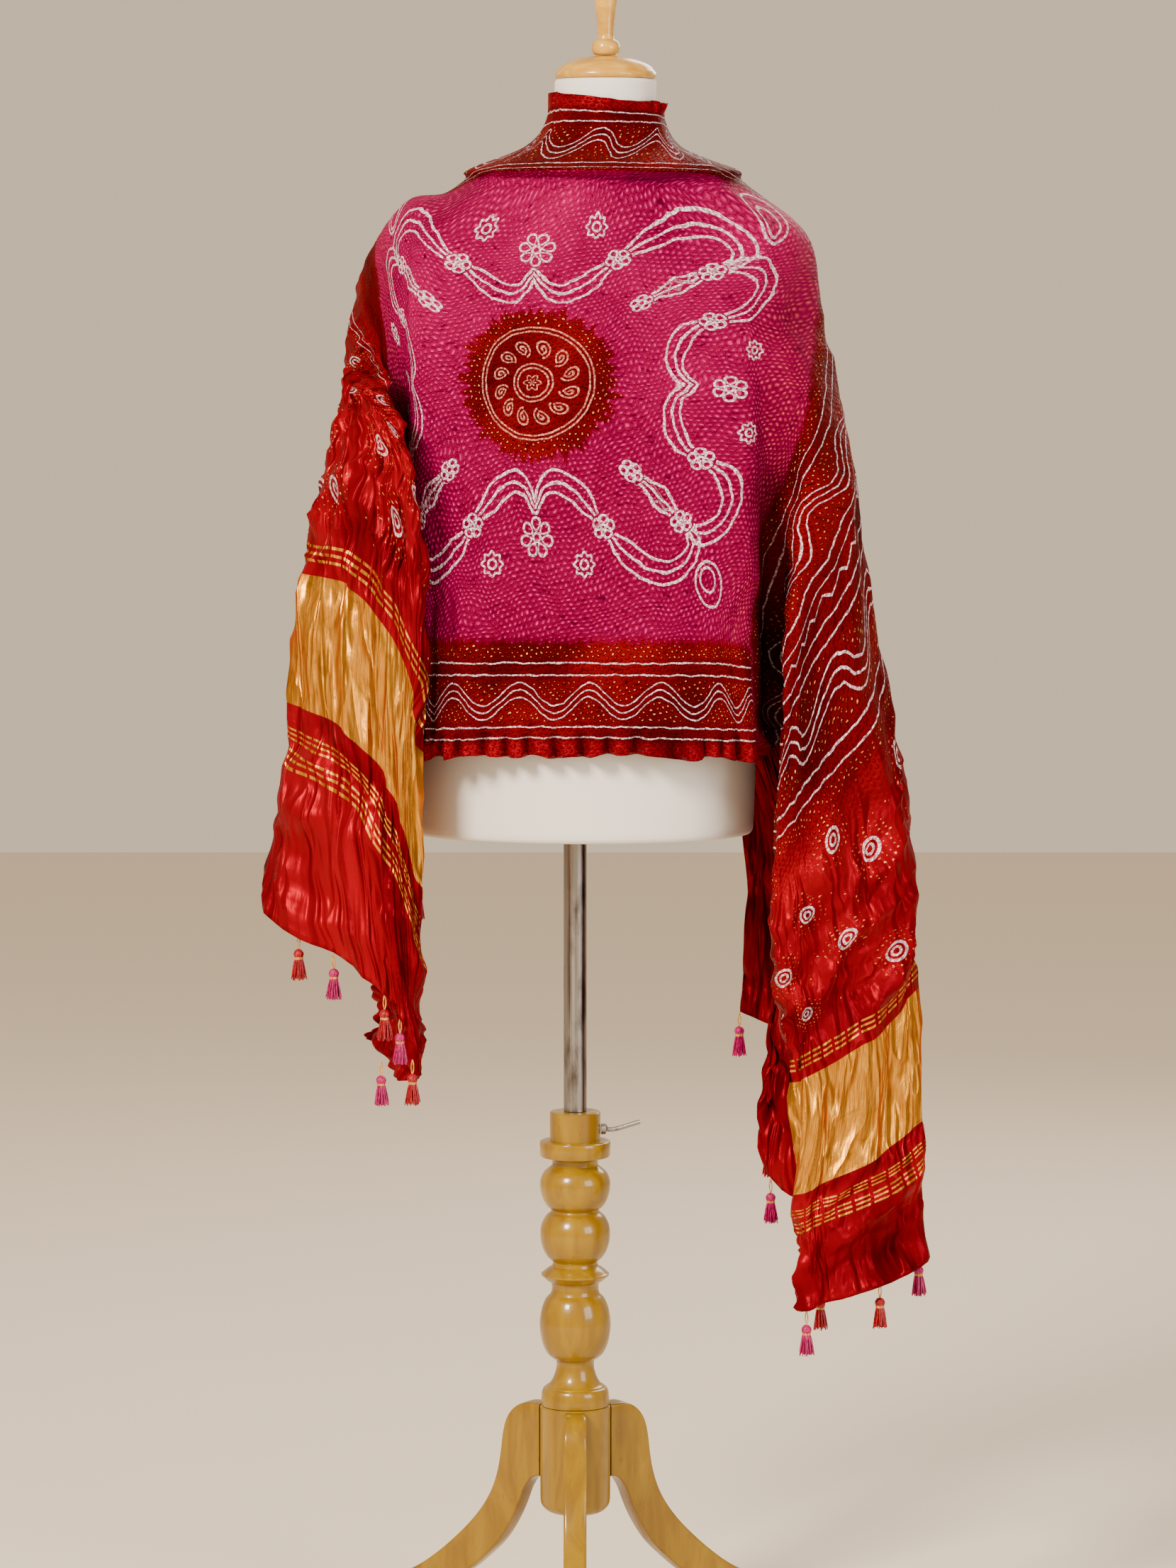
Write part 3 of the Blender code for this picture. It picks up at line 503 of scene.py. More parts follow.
    # The vine and its flowers, from distances held on the mesh. A flower is a ring of looped petals
    # round a small ring; a bud, a leaf or a round is one wavy outline with a second line inside.
    mx, my, petals = motif.outputs
    depth, size, inner = form.outputs
    close = put(t, "Math", nearest.outputs[1], 1.32, operation="LESS_THAN")
    spot = put(t, "VectorMath", put(t, "CombineXYZ", mx, my, 0.0), operation="LENGTH").outputs["Value"]
    spot = put(t, "Math", put(t, "Math", shake, 22.0, operation="MULTIPLY"), spot, operation="ADD")
    angle = put(t, "Math", put(t, "Math", my, mx, operation="ARCTAN2"), petals, operation="MULTIPLY")
    lobe = put(t, "Math", put(t, "Math", angle, operation="COSINE"), depth, 1.0, operation="MULTIPLY_ADD")
    edge = put(t, "Math", put(t, "Math", spot, lobe, operation="SUBTRACT"), size, operation="MULTIPLY")
    drawn = put(t, "Math", edge, 0.0, 0.0014, operation="COMPARE")
    is_flower = put(t, "Math", petals, 6.0, 1.4, operation="COMPARE")
    loop_y = put(t, "Math", put(t, "Math", angle, 1 / (2 * math.pi), operation="MULTIPLY"), operation="FRACT")
    loop_y = put(t, "Math", put(t, "Math", loop_y, 0.5, operation="SUBTRACT"), 2.15, operation="MULTIPLY")
    loop_x = put(t, "Math", put(t, "Math", spot, 0.64, operation="SUBTRACT"), 0.36, operation="DIVIDE")
    loop = put(t, "VectorMath", put(t, "CombineXYZ", loop_x, loop_y, 0.0), operation="LENGTH").outputs["Value"]
    loop = put(t, "Math", put(t, "Math", loop, 0.86, operation="SUBTRACT"), put(t, "Math", size, 0.36, operation="MULTIPLY"),
               operation="MULTIPLY")
    loop = put(t, "Math", put(t, "Math", loop, 0.0, 0.0012, operation="COMPARE"),
               put(t, "Math", spot, 1.02, operation="LESS_THAN"), operation="MULTIPLY")
    drawn = put(t, "Math", is_flower, put(t, "Math", loop, drawn, operation="SUBTRACT"), drawn, operation="MULTIPLY_ADD")
    core = put(t, "Math", put(t, "Math", spot, inner, operation="SUBTRACT"), size, operation="MULTIPLY")
    core = put(t, "Math", core, 0.0, 0.0012, operation="COMPARE")
    motif_lines = put(t, "Math", put(t, "Math", drawn, core, operation="MAXIMUM"), close, operation="MULTIPLY")
    clear = put(t, "Math", put(t, "Math", edge, 0.0015, operation="LESS_THAN"), close, operation="MULTIPLY")
    strands = []
    for path in vine.outputs:
        stray = put(t, "Math", put(t, "Math", path, shake, operation="ADD"), operation="ABSOLUTE")
        strands.append(put(t, "Math", stray, 0.0, VINE_LINE, operation="COMPARE"))
        strands.append(put(t, "Math", stray, nearest.outputs[2], VINE_LINE, operation="COMPARE"))
    reached = put(t, "Math", nearest.outputs[2], 0.0040, operation="ADD")
    strands = put(t, "Math", total(t, strands), put(t, "Math", nearest, reached, operation="LESS_THAN"), operation="MULTIPLY")
    strands = put(t, "Math", strands, put(t, "Math", 1.0, clear, operation="SUBTRACT"), operation="MULTIPLY")
    in_field = put(t, "Math", out, 0.004, operation="LESS_THAN")
    vine_lines = put(t, "Math", put(t, "Math", strands, motif_lines, operation="MAXIMUM"), in_field, operation="MULTIPLY")
    ring_field = put(t, "Math", far, 0.575, operation="GREATER_THAN")
    ring_field = put(t, "Math", ring_field, put(t, "Math", far, 0.85, operation="LESS_THAN"), operation="MULTIPLY")
    ring_lines = put(t, "Math", motif_lines, ring_field, operation="MULTIPLY")

    # Rows of tied dots, which wander by a few mm.
    column = put(t, "Math", slow.outputs[0], 0.030, put(t, "Math", u, put(t, "Math", shake, 0.6, operation="MULTIPLY"),
                 operation="ADD"), operation="MULTIPLY_ADD")
    column = put(t, "Math", column, 1 / DOT_PITCH, operation="MULTIPLY")
    row = put(t, "Math", u, 0.22, put(t, "Math", v, shake, operation="ADD"), operation="MULTIPLY_ADD")
    row = put(t, "Math", slow.outputs[1], 0.044, row, operation="MULTIPLY_ADD")
    row = put(t, "Math", row, 1 / (DOT_PITCH * 0.80), operation="MULTIPLY")
    stagger = put(t, "Math", put(t, "Math", row, operation="FLOOR"), 0.5, column, operation="MULTIPLY_ADD")
    dot_x = put(t, "Math", put(t, "Math", stagger, operation="FRACT"), 0.5, operation="SUBTRACT")
    dot_y = put(t, "Math", put(t, "Math", row, operation="FRACT"), 0.5, operation="SUBTRACT")
    from_dot = put(t, "VectorMath", put(t, "CombineXYZ", dot_x, dot_y, 0.0), operation="LENGTH").outputs["Value"]
    dot = put(t, "MapRange", from_dot, 0.40, 0.16, 0.0, 1.0, interpolation_type="SMOOTHSTEP")
    net = put(t, "MapRange", from_dot, 0.34, 0.58, 0.0, 0.62)
    tight = put(t, "MapRange", from_dot, 0.21, 0.12, 0.0, 1.0)

    # White lines are rows of ties, so they come and go along their length.
    beads = put(t, "MapRange", fine, 0.40, 0.55, 0.25, 1.0)
    white = total(t, [border_lines, heart_lines, vine_lines, ring_lines])
    white = put(t, "Math", white, beads, operation="MULTIPLY")

    # Crinkle between the ties: short ridges along the cloth, 5 mm apart, and a rounder rumple.
    grain_u = put(t, "Math", u, 75.0, operation="MULTIPLY")
    grain_v = put(t, "Math", v, 185.0, operation="MULTIPLY")
    crinkle = put(t, "TexNoise", named={"Vector": put(t, "CombineXYZ", grain_u, grain_v, 0.0), "Scale": 1.0, "Detail": 3.0,
                  "Distortion": 0.8})
    rumple = put(t, "TexNoise", named={"Vector": place, "Scale": 48.0, "Detail": 4.0, "Distortion": 0.9})

    # Dye areas, and painted shade that darkens the creases of the crinkle.
    streak = put(t, "TexNoise", named={"Vector": put(t, "CombineXYZ", put(t, "Math", run, 190.0, operation="MULTIPLY"),
                 put(t, "Math", out, 14.0, operation="MULTIPLY"), 0.0), "Scale": 1.0, "Detail": 2.0})
    ragged_edge = put(t, "Math", put(t, "Math", streak, 0.5, operation="SUBTRACT"), 0.030, out, operation="MULTIPLY_ADD")
    pink_area = put(t, "MapRange", ragged_edge, -0.003, 0.009, 1.0, 0.0)
    pink_area = put(t, "Math", pink_area, put(t, "Math", 1.0, heart, operation="SUBTRACT"), operation="MULTIPLY")
    pink = put(t, "MixRGB", put(t, "MapRange", cloud, 0.3, 0.7, 0.0, 1.0), paint("#700030"), paint("#a60050"))
    pink = put(t, "MixRGB", put(t, "MapRange", v, 0.22, 0.46, 0.0, 0.7), pink, paint("#70002c"))
    pink = put(t, "MixRGB", net, pink, paint("#3c0016"))
    edge_share = put(t, "MapRange", far, 0.20, 0.27, 0.0, 1.0)
    pale = put(t, "MixRGB", edge_share, paint("#cc1a74"), paint("#c84850"))
    pale_share = put(t, "Math", dot, put(t, "MapRange", wander, 0.34, 0.66, 0.10, 0.82), operation="MULTIPLY")
    pink = put(t, "MixRGB", pale_share, pink, pale)
    red = put(t, "MixRGB", put(t, "MapRange", cloud, 0.35, 0.65, 0.0, 1.0), paint("#3e0001"), paint("#680005"))
    satin = put(t, "MixRGB", put(t, "MapRange", cloud, 0.3, 0.7, 0.0, 1.0), paint("#56000a"), paint("#8e0014"))
    smooth = put(t, "MapRange", put(t, "Math", left, 0.09, far, operation="MULTIPLY_ADD"), 0.54, 0.64, 0.0, 1.0)
    hem = put(t, "MapRange", updown, 0.129, 0.135, 0.0, 1.0)
    red = put(t, "MixRGB", put(t, "Math", smooth, hem, operation="MAXIMUM"), red, satin)
    hollow = put(t, "Math", 1.0, put(t, "Math", wave, 0.0, 0.0150, operation="COMPARE"), operation="SUBTRACT")
    hollow = put(t, "Math", hollow, put(t, "Math", across, 0.079, 0.026, operation="COMPARE"), operation="MULTIPLY")
    hollow = put(t, "Math", hollow, in_border, operation="MULTIPLY")
    near_pink = put(t, "Math", across, 0.0175, 0.0070, operation="COMPARE")
    halo = put(t, "Math", nearest.outputs[1], 2.05, 0.70, operation="COMPARE")
    halo = put(t, "Math", halo, ring_field, operation="MULTIPLY")
    loose = put(t, "Math", put(t, "Math", wander, 0.66, operation="GREATER_THAN"), ring_field, operation="MULTIPLY")
    outside_rings = put(t, "Math", heart, put(t, "Math", reach, 0.0640, operation="GREATER_THAN"), operation="MULTIPLY")
    yellow_area = total(t, [hollow, near_pink, halo, loose, outside_rings])
    thin_out = put(t, "Math", fine, 0.51, operation="GREATER_THAN")
    before_satin = put(t, "Math", far, 0.855, operation="LESS_THAN")
    yellow = total(t, [tight, yellow_area, thin_out, before_satin, open_part], "MULTIPLY")
    red = put(t, "MixRGB", yellow, red, put(t, "MixRGB", put(t, "MapRange", wander, 0.40, 0.60, 0.0, 1.0),
              paint("#c04010"), paint("#e0a060")))
    colour = put(t, "MixRGB", pink_area, red, pink)
    # Painted shade: the colour is multiplied darker where the crinkle lies low, in its creases, but not on the satin
    # ends.
    crease_shade = put(t, "MapRange", crinkle, 0.25, 0.40, 0.0, 1.0)
    crease_shade = put(t, "Math", crease_shade, put(t, "MapRange", far, 0.54, 0.60, 0.0, 1.0), operation="MAXIMUM")
    deep = put(t, "MixRGB", 1.0, colour, paint("#8c8088"), blend_type="MULTIPLY")
    colour = put(t, "MixRGB", crease_shade, deep, colour)
    resist = put(t, "MixRGB", heart, paint("#e8cdd8"), paint("#d88878"))
    colour = put(t, "MixRGB", white, colour, resist)

    # Woven gold: one broad band and three groups of fine lines at each end.
    bar = put(t, "Math", put(t, "Math", v, 1 / 0.0135, operation="MULTIPLY"), operation="FRACT")
    dashes = put(t, "Math", bar, 0.80, operation="LESS_THAN")
    gold_lines = total(t, [put(t, "Math", far, at, 0.0014, operation="COMPARE")
                           for at in (0.861, 0.868, 0.875, 1.041, 1.048, 1.055, 1.069, 1.076, 1.083)])
    gold_lines = put(t, "Math", gold_lines, dashes, operation="MULTIPLY")
    band = put(t, "Math", far, 0.950, 0.060, operation="COMPARE")
    gold_area = put(t, "Math", gold_lines, band, operation="MAXIMUM")
    thread = put(t, "TexNoise", named={"Vector": put(t, "CombineXYZ", put(t, "Math", u, 60.0, operation="MULTIPLY"),
                 put(t, "Math", v, 900.0, operation="MULTIPLY"), 0.0), "Scale": 1.0, "Detail": 2.0})
    gold = put(t, "MixRGB", put(t, "MapRange", thread, 0.3, 0.7, 0.0, 1.0), paint("#a8640e"), paint("#d89a34"))
    # Painted shade: the gold turns darker where the rumple, which also shapes the bump, lies low in its hollows.
    gold = put(t, "MixRGB", put(t, "MapRange", rumple, 0.26, 0.42, 0.0, 1.0), paint("#94600e"), gold)
    if outer:
        colour = put(t, "MixRGB", gold_area, colour, gold)

    # Puckers of the ties, the crinkle between them, and the weave of the gold.
    tied = put(t, "MapRange", far, 0.56, 0.64, 1.0, 0.0)
    rough_part = put(t, "MapRange", smooth, 0.0, 1.0, 1.0, 0.18)
    pucker = put(t, "Math", dot, tied, operation="MULTIPLY")
    height = put(t, "Math", put(t, "Math", rumple, 1.2, operation="MULTIPLY"), crinkle, operation="ADD")
    fold = put(t, "TexNoise", named={"Vector": put(t, "CombineXYZ", put(t, "Math", u, 9.0, operation="MULTIPLY"),
               put(t, "Math", v, 40.0, operation="MULTIPLY"), 0.0), "Scale": 1.0, "Detail": 2.0, "Distortion": 0.4})
    fold = put(t, "Math", put(t, "Math", fold, 0.5, operation="SUBTRACT"), operation="ABSOLUTE")
    fold = put(t, "Math", fold, put(t, "Math", smooth, -12.0, operation="MULTIPLY"), operation="MULTIPLY")
    height = put(t, "Math", height, rough_part, put(t, "Math", pucker, 0.75, operation="MULTIPLY"), operation="MULTIPLY_ADD")
    height = put(t, "Math", height, fold, operation="ADD")
    height = put(t, "Math", white, 0.30, height, operation="MULTIPLY_ADD")
    height = put(t, "Math", thread, put(t, "Math", gold_area, 0.10, operation="MULTIPLY"), height, operation="MULTIPLY_ADD")
    relief = put(t, "Bump", named={"Strength": 0.9, "Distance": 0.0035, "Height": height})
    glossy = put(t, "Math", smooth, hem, operation="MAXIMUM")
    rough = put(t, "MapRange", glossy, 0.0, 1.0, 0.60, 0.38)
    # Light leaves silk satin in the colour of its dye, which a share of the metallic part gives.
    metal = put(t, "MapRange", glossy, 0.0, 1.0, 0.08, 0.34)
    join(t, shader, Base_Color=colour, Roughness=rough, Specular_IOR_Level=0.10, Specular_Tint=paint("#ff4a5c"), Normal=relief)
    if outer:
        metal = put(t, "Math", metal, put(t, "Math", gold_area, 0.85, operation="MULTIPLY"), operation="MAXIMUM")
    join(t, shader, Metallic=metal)
    return made


def cotton_jersey():
    """Padded cotton cover: matt off-white with a fine knit, drawn at 1.2 mm so that it shows."""
    made, t, shader = new_material("cotton_jersey")
    place = put(t, "TexCoord").outputs["Object"]
    knit = put(t, "TexNoise", named={"Vector": place, "Scale": 800.0, "Detail": 2.0})
    soft = put(t, "TexNoise", named={"Vector": place, "Scale": 7.0, "Detail": 3.0})
    colour = put(t, "MixRGB", soft, paint("#dedad4"), paint("#d2ccc2"))
    relief = put(t, "Bump", named={"Strength": 0.25, "Distance": 0.0006, "Height": knit})
    join(t, shader, Base_Color=colour, Roughness=0.88, Sheen_Weight=0.15, Normal=relief)
    return made


def lacquered_wood(name, light, dark, stretch):
    """Hardwood under golden yellow lacquer: grain 3 to 8 mm wide along the piece, and a wet gloss."""
    made, t, shader = new_material(name)
    place = put(t, "Mapping", named={"Vector": put(t, "TexCoord").outputs["Object"], "Scale": stretch})
    grain = put(t, "TexNoise", named={"Vector": place, "Scale": 1.0, "Detail": 5.0, "Distortion": 1.2})
    pores = put(t, "TexNoise", named={"Vector": place, "Scale": 9.0, "Detail": 2.0})
    share = put(t, "MapRange", grain, 0.36, 0.66, 0.0, 1.0)
    colour = put(t, "MixRGB", share, paint(light), paint(dark))
    fleck = put(t, "MapRange", pores, 0.64, 0.74, 0.0, 0.30)
    colour = put(t, "MixRGB", fleck, colour, paint("#4c2a02"))
    relief = put(t, "Bump", named={"Strength": 0.15, "Distance": 0.0004, "Height": pores})
    rough = put(t, "MapRange", grain, 0.3, 0.7, 0.24, 0.36)
    join(t, shader, Base_Color=colour, Roughness=rough, Specular_IOR_Level=0.25, Coat_Weight=0.45, Coat_Roughness=0.08,
         Normal=relief)
    return made


def plated_steel():
    """Chromed tube, worn: bright with drawn scratches along it and dull brown stains."""
    made, t, shader = new_material("plated_steel")
    place = put(t, "TexCoord").outputs["Object"]
    drawn = put(t, "TexNoise", named={"Vector": put(t, "Mapping", named={"Vector": place, "Scale": (500.0, 500.0, 8.0)}),
                "Scale": 1.0, "Detail": 3.0})
    stain = put(t, "TexNoise", named={"Vector": put(t, "Mapping", named={"Vector": place, "Scale": (60.0, 60.0, 18.0)}),
                "Scale": 1.0, "Detail": 4.0})
    worn = put(t, "MapRange", stain, 0.52, 0.68, 0.0, 0.8)
    colour = put(t, "MixRGB", worn, paint("#8f8a84"), paint("#3c2c20"))
    rough = put(t, "MapRange", drawn, 0.3, 0.7, 0.20, 0.50)
    relief = put(t, "Bump", named={"Strength": 0.2, "Distance": 0.0002, "Height": drawn})
    join(t, shader, Base_Color=colour, Roughness=rough, Metallic=1.0, Normal=relief)
    return made


def dull_steel():
    """Bent wire and its screw: grey steel with a little rust."""
    made, t, shader = new_material("dull_steel")
    place = put(t, "TexCoord").outputs["Object"]
    rust = put(t, "TexNoise", named={"Vector": place, "Scale": 220.0, "Detail": 4.0})
    colour = put(t, "MixRGB", put(t, "MapRange", rust, 0.5, 0.75, 0.0, 0.7), paint("#8d8a86"), paint("#5c3a28"))
    join(t, shader, Base_Color=colour, Roughness=0.42, Metallic=0.9)
    return made


def silk_thread(name, light, dark):
    """Twisted silk or metal thread: darker between strands, with a soft sheen."""
    made, t, shader = new_material(name)
    place = put(t, "Mapping", named={"Vector": put(t, "TexCoord").outputs["Object"], "Scale": (900.0, 900.0, 260.0)})
    strand = put(t, "TexNoise", named={"Vector": place, "Scale": 1.0, "Detail": 2.0})
    colour = put(t, "MixRGB", put(t, "MapRange", strand, 0.35, 0.65, 0.0, 1.0), paint(dark), paint(light))
    relief = put(t, "Bump", named={"Strength": 0.4, "Distance": 0.0004, "Height": strand})
    join(t, shader, Base_Color=colour, Roughness=0.5, Specular_IOR_Level=0.3, Normal=relief)
    return made


# ---- the cloth

# A quarter of the vine, seen from the heart: distance sideways and distance up. It is mirrored four
# ways: a shoulder from the middle to the corner's knot, a flank from there to the side, and a bud's stem.
SHOULDER = (
    (0.000, 0.1255), (0.012, 0.1080), (0.030, 0.0995), (0.055, 0.1080), (0.078, 0.1260), (0.0974, 0.1428),
    (0.128, 0.1660), (0.1645, 0.1835), (0.197, 0.1860), (0.220, 0.1720), (0.2235, 0.1530), (0.206, 0.1374),
)
FLANK = (
    (0.206, 0.1374), (0.226, 0.1475), (0.247, 0.1470), (0.264, 0.1360), (0.270, 0.1170), (0.262, 0.0970),
    (0.245, 0.0840), (0.2251, 0.0752), (0.204, 0.0630), (0.190, 0.0470), (0.186, 0.0270), (0.194, 0.0100),
    (0.209, 0.0000),
)
STEM = ((0.206, 0.1374), (0.184, 0.1210), (0.163, 0.1075), (0.1430, 0.0950))
# Where the vine's strands draw together.
GATHERED = ((0.0, 0.1255), (0.0974, 0.1428), (0.206, 0.1374), (0.2251, 0.0752), (0.209, 0.0), (0.1430, 0.0950))
# Flowers, buds, leaves and rosettes of a quarter: sideways, up, half_length, half_width, turn,
# petals, depth of the lobes, inner ring. Five to seven petals are drawn as loops.
FLOWERS = (
    (0.0974, 0.1428, 0.0130, 0.0120, 20, 5, 0.00, 0.18),
    (0.2060, 0.1374, 0.0120, 0.0110, 0, 5, 0.00, 0.18),
    (0.2251, 0.0752, 0.0130, 0.0115, 10, 5, 0.00, 0.18),
    (0.0000, 0.1530, 0.0200, 0.0190, 90, 7, 0.00, 0.22),
    (0.0680, 0.1790, 0.0105, 0.0105, 0, 8, 0.14, 0.42),
    (0.1340, 0.0895, 0.0140, 0.0095, 213, 5, 0.00, 0.30),
    (0.2560, 0.1940, 0.0250, 0.0160, 55, 1, 0.22, 0.55),
    (0.2750, 0.0460, 0.0095, 0.0095, 0, 8, 0.14, 0.42),
    (0.2480, 0.0000, 0.0155, 0.0140, 0, 6, 0.00, 0.22),
)
RING_COLUMNS = (0.612, 0.672, 0.735, 0.800)
RING_SPACING = 0.092
RING_HALF_LENGTH = 0.0110
RING_HALF_WIDTH = 0.0075
# The hanging ends are bunched, so the pattern slides along them: place on the solid, place in the pattern.
LEFT_SLIDE = (
    (0.00, 0.000), (0.30, 0.300), (0.43, 0.545), (0.56, 0.665), (0.795, 0.861), (0.8275, 0.890), (0.9715, 1.010),
    (1.03, 1.083), (1.17, 1.170),
)
RIGHT_SLIDE = (
    (0.00, 0.000), (0.30, 0.300), (0.56, 0.570), (0.829, 0.861), (0.857, 0.890), (0.997, 1.010), (1.048, 1.083),
    (1.17, 1.170),
)
# Under the collar's roll the pattern runs quickly from the border to the pink.
TOP_SLIDE = ((0.0, -0.006), (0.022, 0.0145), (0.0345, 0.027), (0.064, 0.0565), (0.096, 0.093), (0.109, 0.127),
             (0.189, 0.170), (0.30, 0.30), (0.74, 0.74))


def signed_path(path, far, up):
    """Distance to the nearest point of a path, positive on its left and negative on its right."""
    best, signed = np.full(far.shape, 9.0), np.full(far.shape, 9.0)
    for a, b in zip(path[:-1], path[1:]):
        run = b - a
        t = np.clip(((far - a[0]) * run[0] + (up - a[1]) * run[1]) / (run @ run), 0, 1)
        dx, dy = far - a[0] - t * run[0], up - a[1] - t * run[1]
        away = np.hypot(dx, dy)
        closer = away < best
        best = np.where(closer, away, best)
        signed = np.where(closer, away * np.where(run[0] * dy < run[1] * dx, -1, 1), signed)
    return signed


def drawn_in(u, v):
    """The share by which the gathers draw the vine together sideways: more towards the back's hem."""
    share = np.clip(0.875 - 0.36 * (v - 0.22), 0.70, 0.95)
    return 1 - (1 - share) * (1 - ease(0.30, 0.42, np.abs(u)))


def near_vine(u, v):
    """Signed distances to the vine's three paths, in a quarter that stands for all four, and the
    spacing of the strands, which grows from 5 mm at a gathered place to 11 mm away from it."""
    far, up = np.abs(u - HEART[0]) / drawn_in(u, v), np.abs(v - HEART[1])
    paths = np.stack([signed_path(smooth_line(path, 8), far, up) for path in (SHOULDER, FLANK, STEM)], -1)
    away = np.min([np.hypot(far - x, up - y) for x, y in GATHERED], axis=0)
    return paths, 0.0048 + 0.0066 * ease(0.010, 0.045, away)


def near_motif(u, v):
    """For each place, the nearest motif's own turned and scaled coordinates, its numbers and its distance."""
    rows = []
    for x, y, long, wide, turn, petals, depth, inner in FLOWERS:
        for sx in ((1,) if x == 0 else (1, -1)):
            for sy in ((1,) if y == 0 else (1, -1)):
                aim = math.atan2(sy * math.sin(math.radians(turn)), sx * math.cos(math.radians(turn)))
                rows.append((HEART[0] + sx * x, HEART[1] - sy * y, long, wide, -aim, petals, depth, inner))
    rng = np.random.default_rng(7)
    for side in (-1, 1):
        for k, column in enumerate(RING_COLUMNS):
            for y in np.arange(0.05 + (k % 2) * RING_SPACING / 2, WIDTH - 0.02, RING_SPACING):
                dx, dy, turn, size = rng.uniform(-1, 1, 4)
                rows.append((side * (column + 0.010 * dx), y + 0.012 * dy, RING_HALF_LENGTH * (1 + 0.12 * size),
                             RING_HALF_WIDTH * (1.30 if side < 0 else 1.0), 0.5 * turn, 0, 0.0, 0.45))
    best = np.full(u.shape, 1e9)
    motif, form = np.zeros(u.shape + (3,)), np.zeros(u.shape + (3,))
    share = drawn_in(u, v)
    for x, y, long, wide, turn, petals, depth, inner in rows:
        dx, dy = u - x * share, v - y
        mx = (dx * math.cos(turn) + dy * math.sin(turn)) / long
        my = (dy * math.cos(turn) - dx * math.sin(turn)) / wide
        away = np.hypot(mx, my)
        closer = away < best
        best = np.where(closer, away, best)
        motif[closer] = np.stack([mx, my, np.full(u.shape, petals)], -1)[closer]
        form[closer] = (depth, math.sqrt(long * wide), inner)
    return motif, form, best


def ridged(a, b, seed):
    """Cloudy unevenness folded over, which gives rounded swells between sharp creases."""
    return 1 - 2 * np.abs(cloudy(a, b, seed))


def soft_relief(u, v):
    """How far the cloth stands off the drape's own surface.

    Small crinkles all over, gathers that deepen towards the back's hem, narrow hanging folds and
    broken satin creases on the ends, and a frill along both selvages.
    """
    far = np.abs(u)
    hangs = ease(0.28, 0.46, far)
    satin = ease(0.54, 0.66, far)
    banded = ease(0.80, 0.84, far) * (1 - ease(0.98, 1.02, far))
    calm = 1 - 0.72 * ease(0.03, 0.09, v) * (1 - ease(0.19, 0.26, v)) * (1 - hangs)
    lifted = 0.0010 * cloudy(u / 0.016, v / 0.014, 1) * (1 - satin)
    lifted += 0.0020 * cloudy(u / 0.045, v / 0.030, 2)
    lifted += (1 - hangs) * 0.0030 * cloudy(u / 0.10, v / 0.13, 3)
    gather = ease(0.46, 0.70, v) * (1 - hangs)
    lifted += gather * 0.0034 * cloudy(u / 0.014, v / 0.16, 4)
    lifted += hangs * 0.0062 * ridged(u / 0.16, v / 0.030, 5)
    lifted += hangs * (1 - satin) * 0.0026 * cloudy((u + v) / 0.036, (u - v) / 0.020, 6)
    broken = satin * (1 - 0.8 * banded)
    lifted += broken * 0.0080 * ridged((u + 0.5 * v) / 0.072, (v - 0.5 * u) / 0.046, 8)
    lifted += broken * 0.0042 * ridged((u - v) / 0.030, (u + v) / 0.042, 9)
    lifted += banded * 0.0085 * ridged(u / 0.26, v / 0.030, 14)
    frill = ease(WIDTH - 0.036, WIDTH - 0.010, v) * (1 - ease(0.36, 0.50, far))
    waves = 2 * math.pi * (u / 0.033 + 0.7 * cloudy(u / 0.06, v / 0.3, 10))
    lifted += frill * (0.0090 * np.sin(waves) + 0.0034 * np.sin(2 * waves + 1.0))
    top = (1 - ease(0.0, 0.026, v)) * (1 - ease(0.25, 0.40, far))
    lifted += top * 0.0019 * np.sin(2 * math.pi * (u / 0.021 + 0.8 * cloudy(u / 0.04, v / 0.3, 11)))
    return lifted * calm


def clear_of_form(points, gap):
    """Points inside the form's oval, made wider by the gap, moved straight out to it."""
    x, y, z = np.moveaxis(points, -1, 0)
    level = z - lift(x, z)
    for _ in range(3):
        level = z - lift(x, level)
    table = np.array(TORSO)
    wide = np.interp(level, table[:, 0], table[:, 1]) + gap
    deep = np.interp(level, table[:, 0], table[:, 2]) + gap
    middle = BASE_X + (level - BASE_Z) * LEAN
    inside = np.hypot((x - middle) / wide, y / deep)
    push = np.where((z > BASE_Z - 0.02) & (inside < 1), 1 / np.maximum(inside, 0.2), 1.0)
    return np.stack([middle + (x - middle) * push, y * push, z], -1)


def slid(u, v):
    """Where the pattern lies on the cloth, by calm curves through the tables."""
    moved = []
    for table, at in ((LEFT_SLIDE, -u), (RIGHT_SLIDE, u), (TOP_SLIDE, v)):
        knots = np.array(table)
        line = along(np.clip(at, 0, None).ravel(), knots[:, 0], knots[:, 1], calm_slopes(knots[:, 1], knots[:, 0]))
        moved.append(line.reshape(u.shape))
    share = ease(0.20, 0.32, np.abs(u))
    # Round the neck the cloth is gathered, so the pattern runs half as fast again there.
    faster = 1 + 0.56 * (1 - ease(0.084, 0.112, v)) * (1 - ease(0.10, 0.30, np.abs(u)))
    return np.where(u < 0, -moved[0], moved[1]) * faster, share * v + (1 - share) * moved[2]


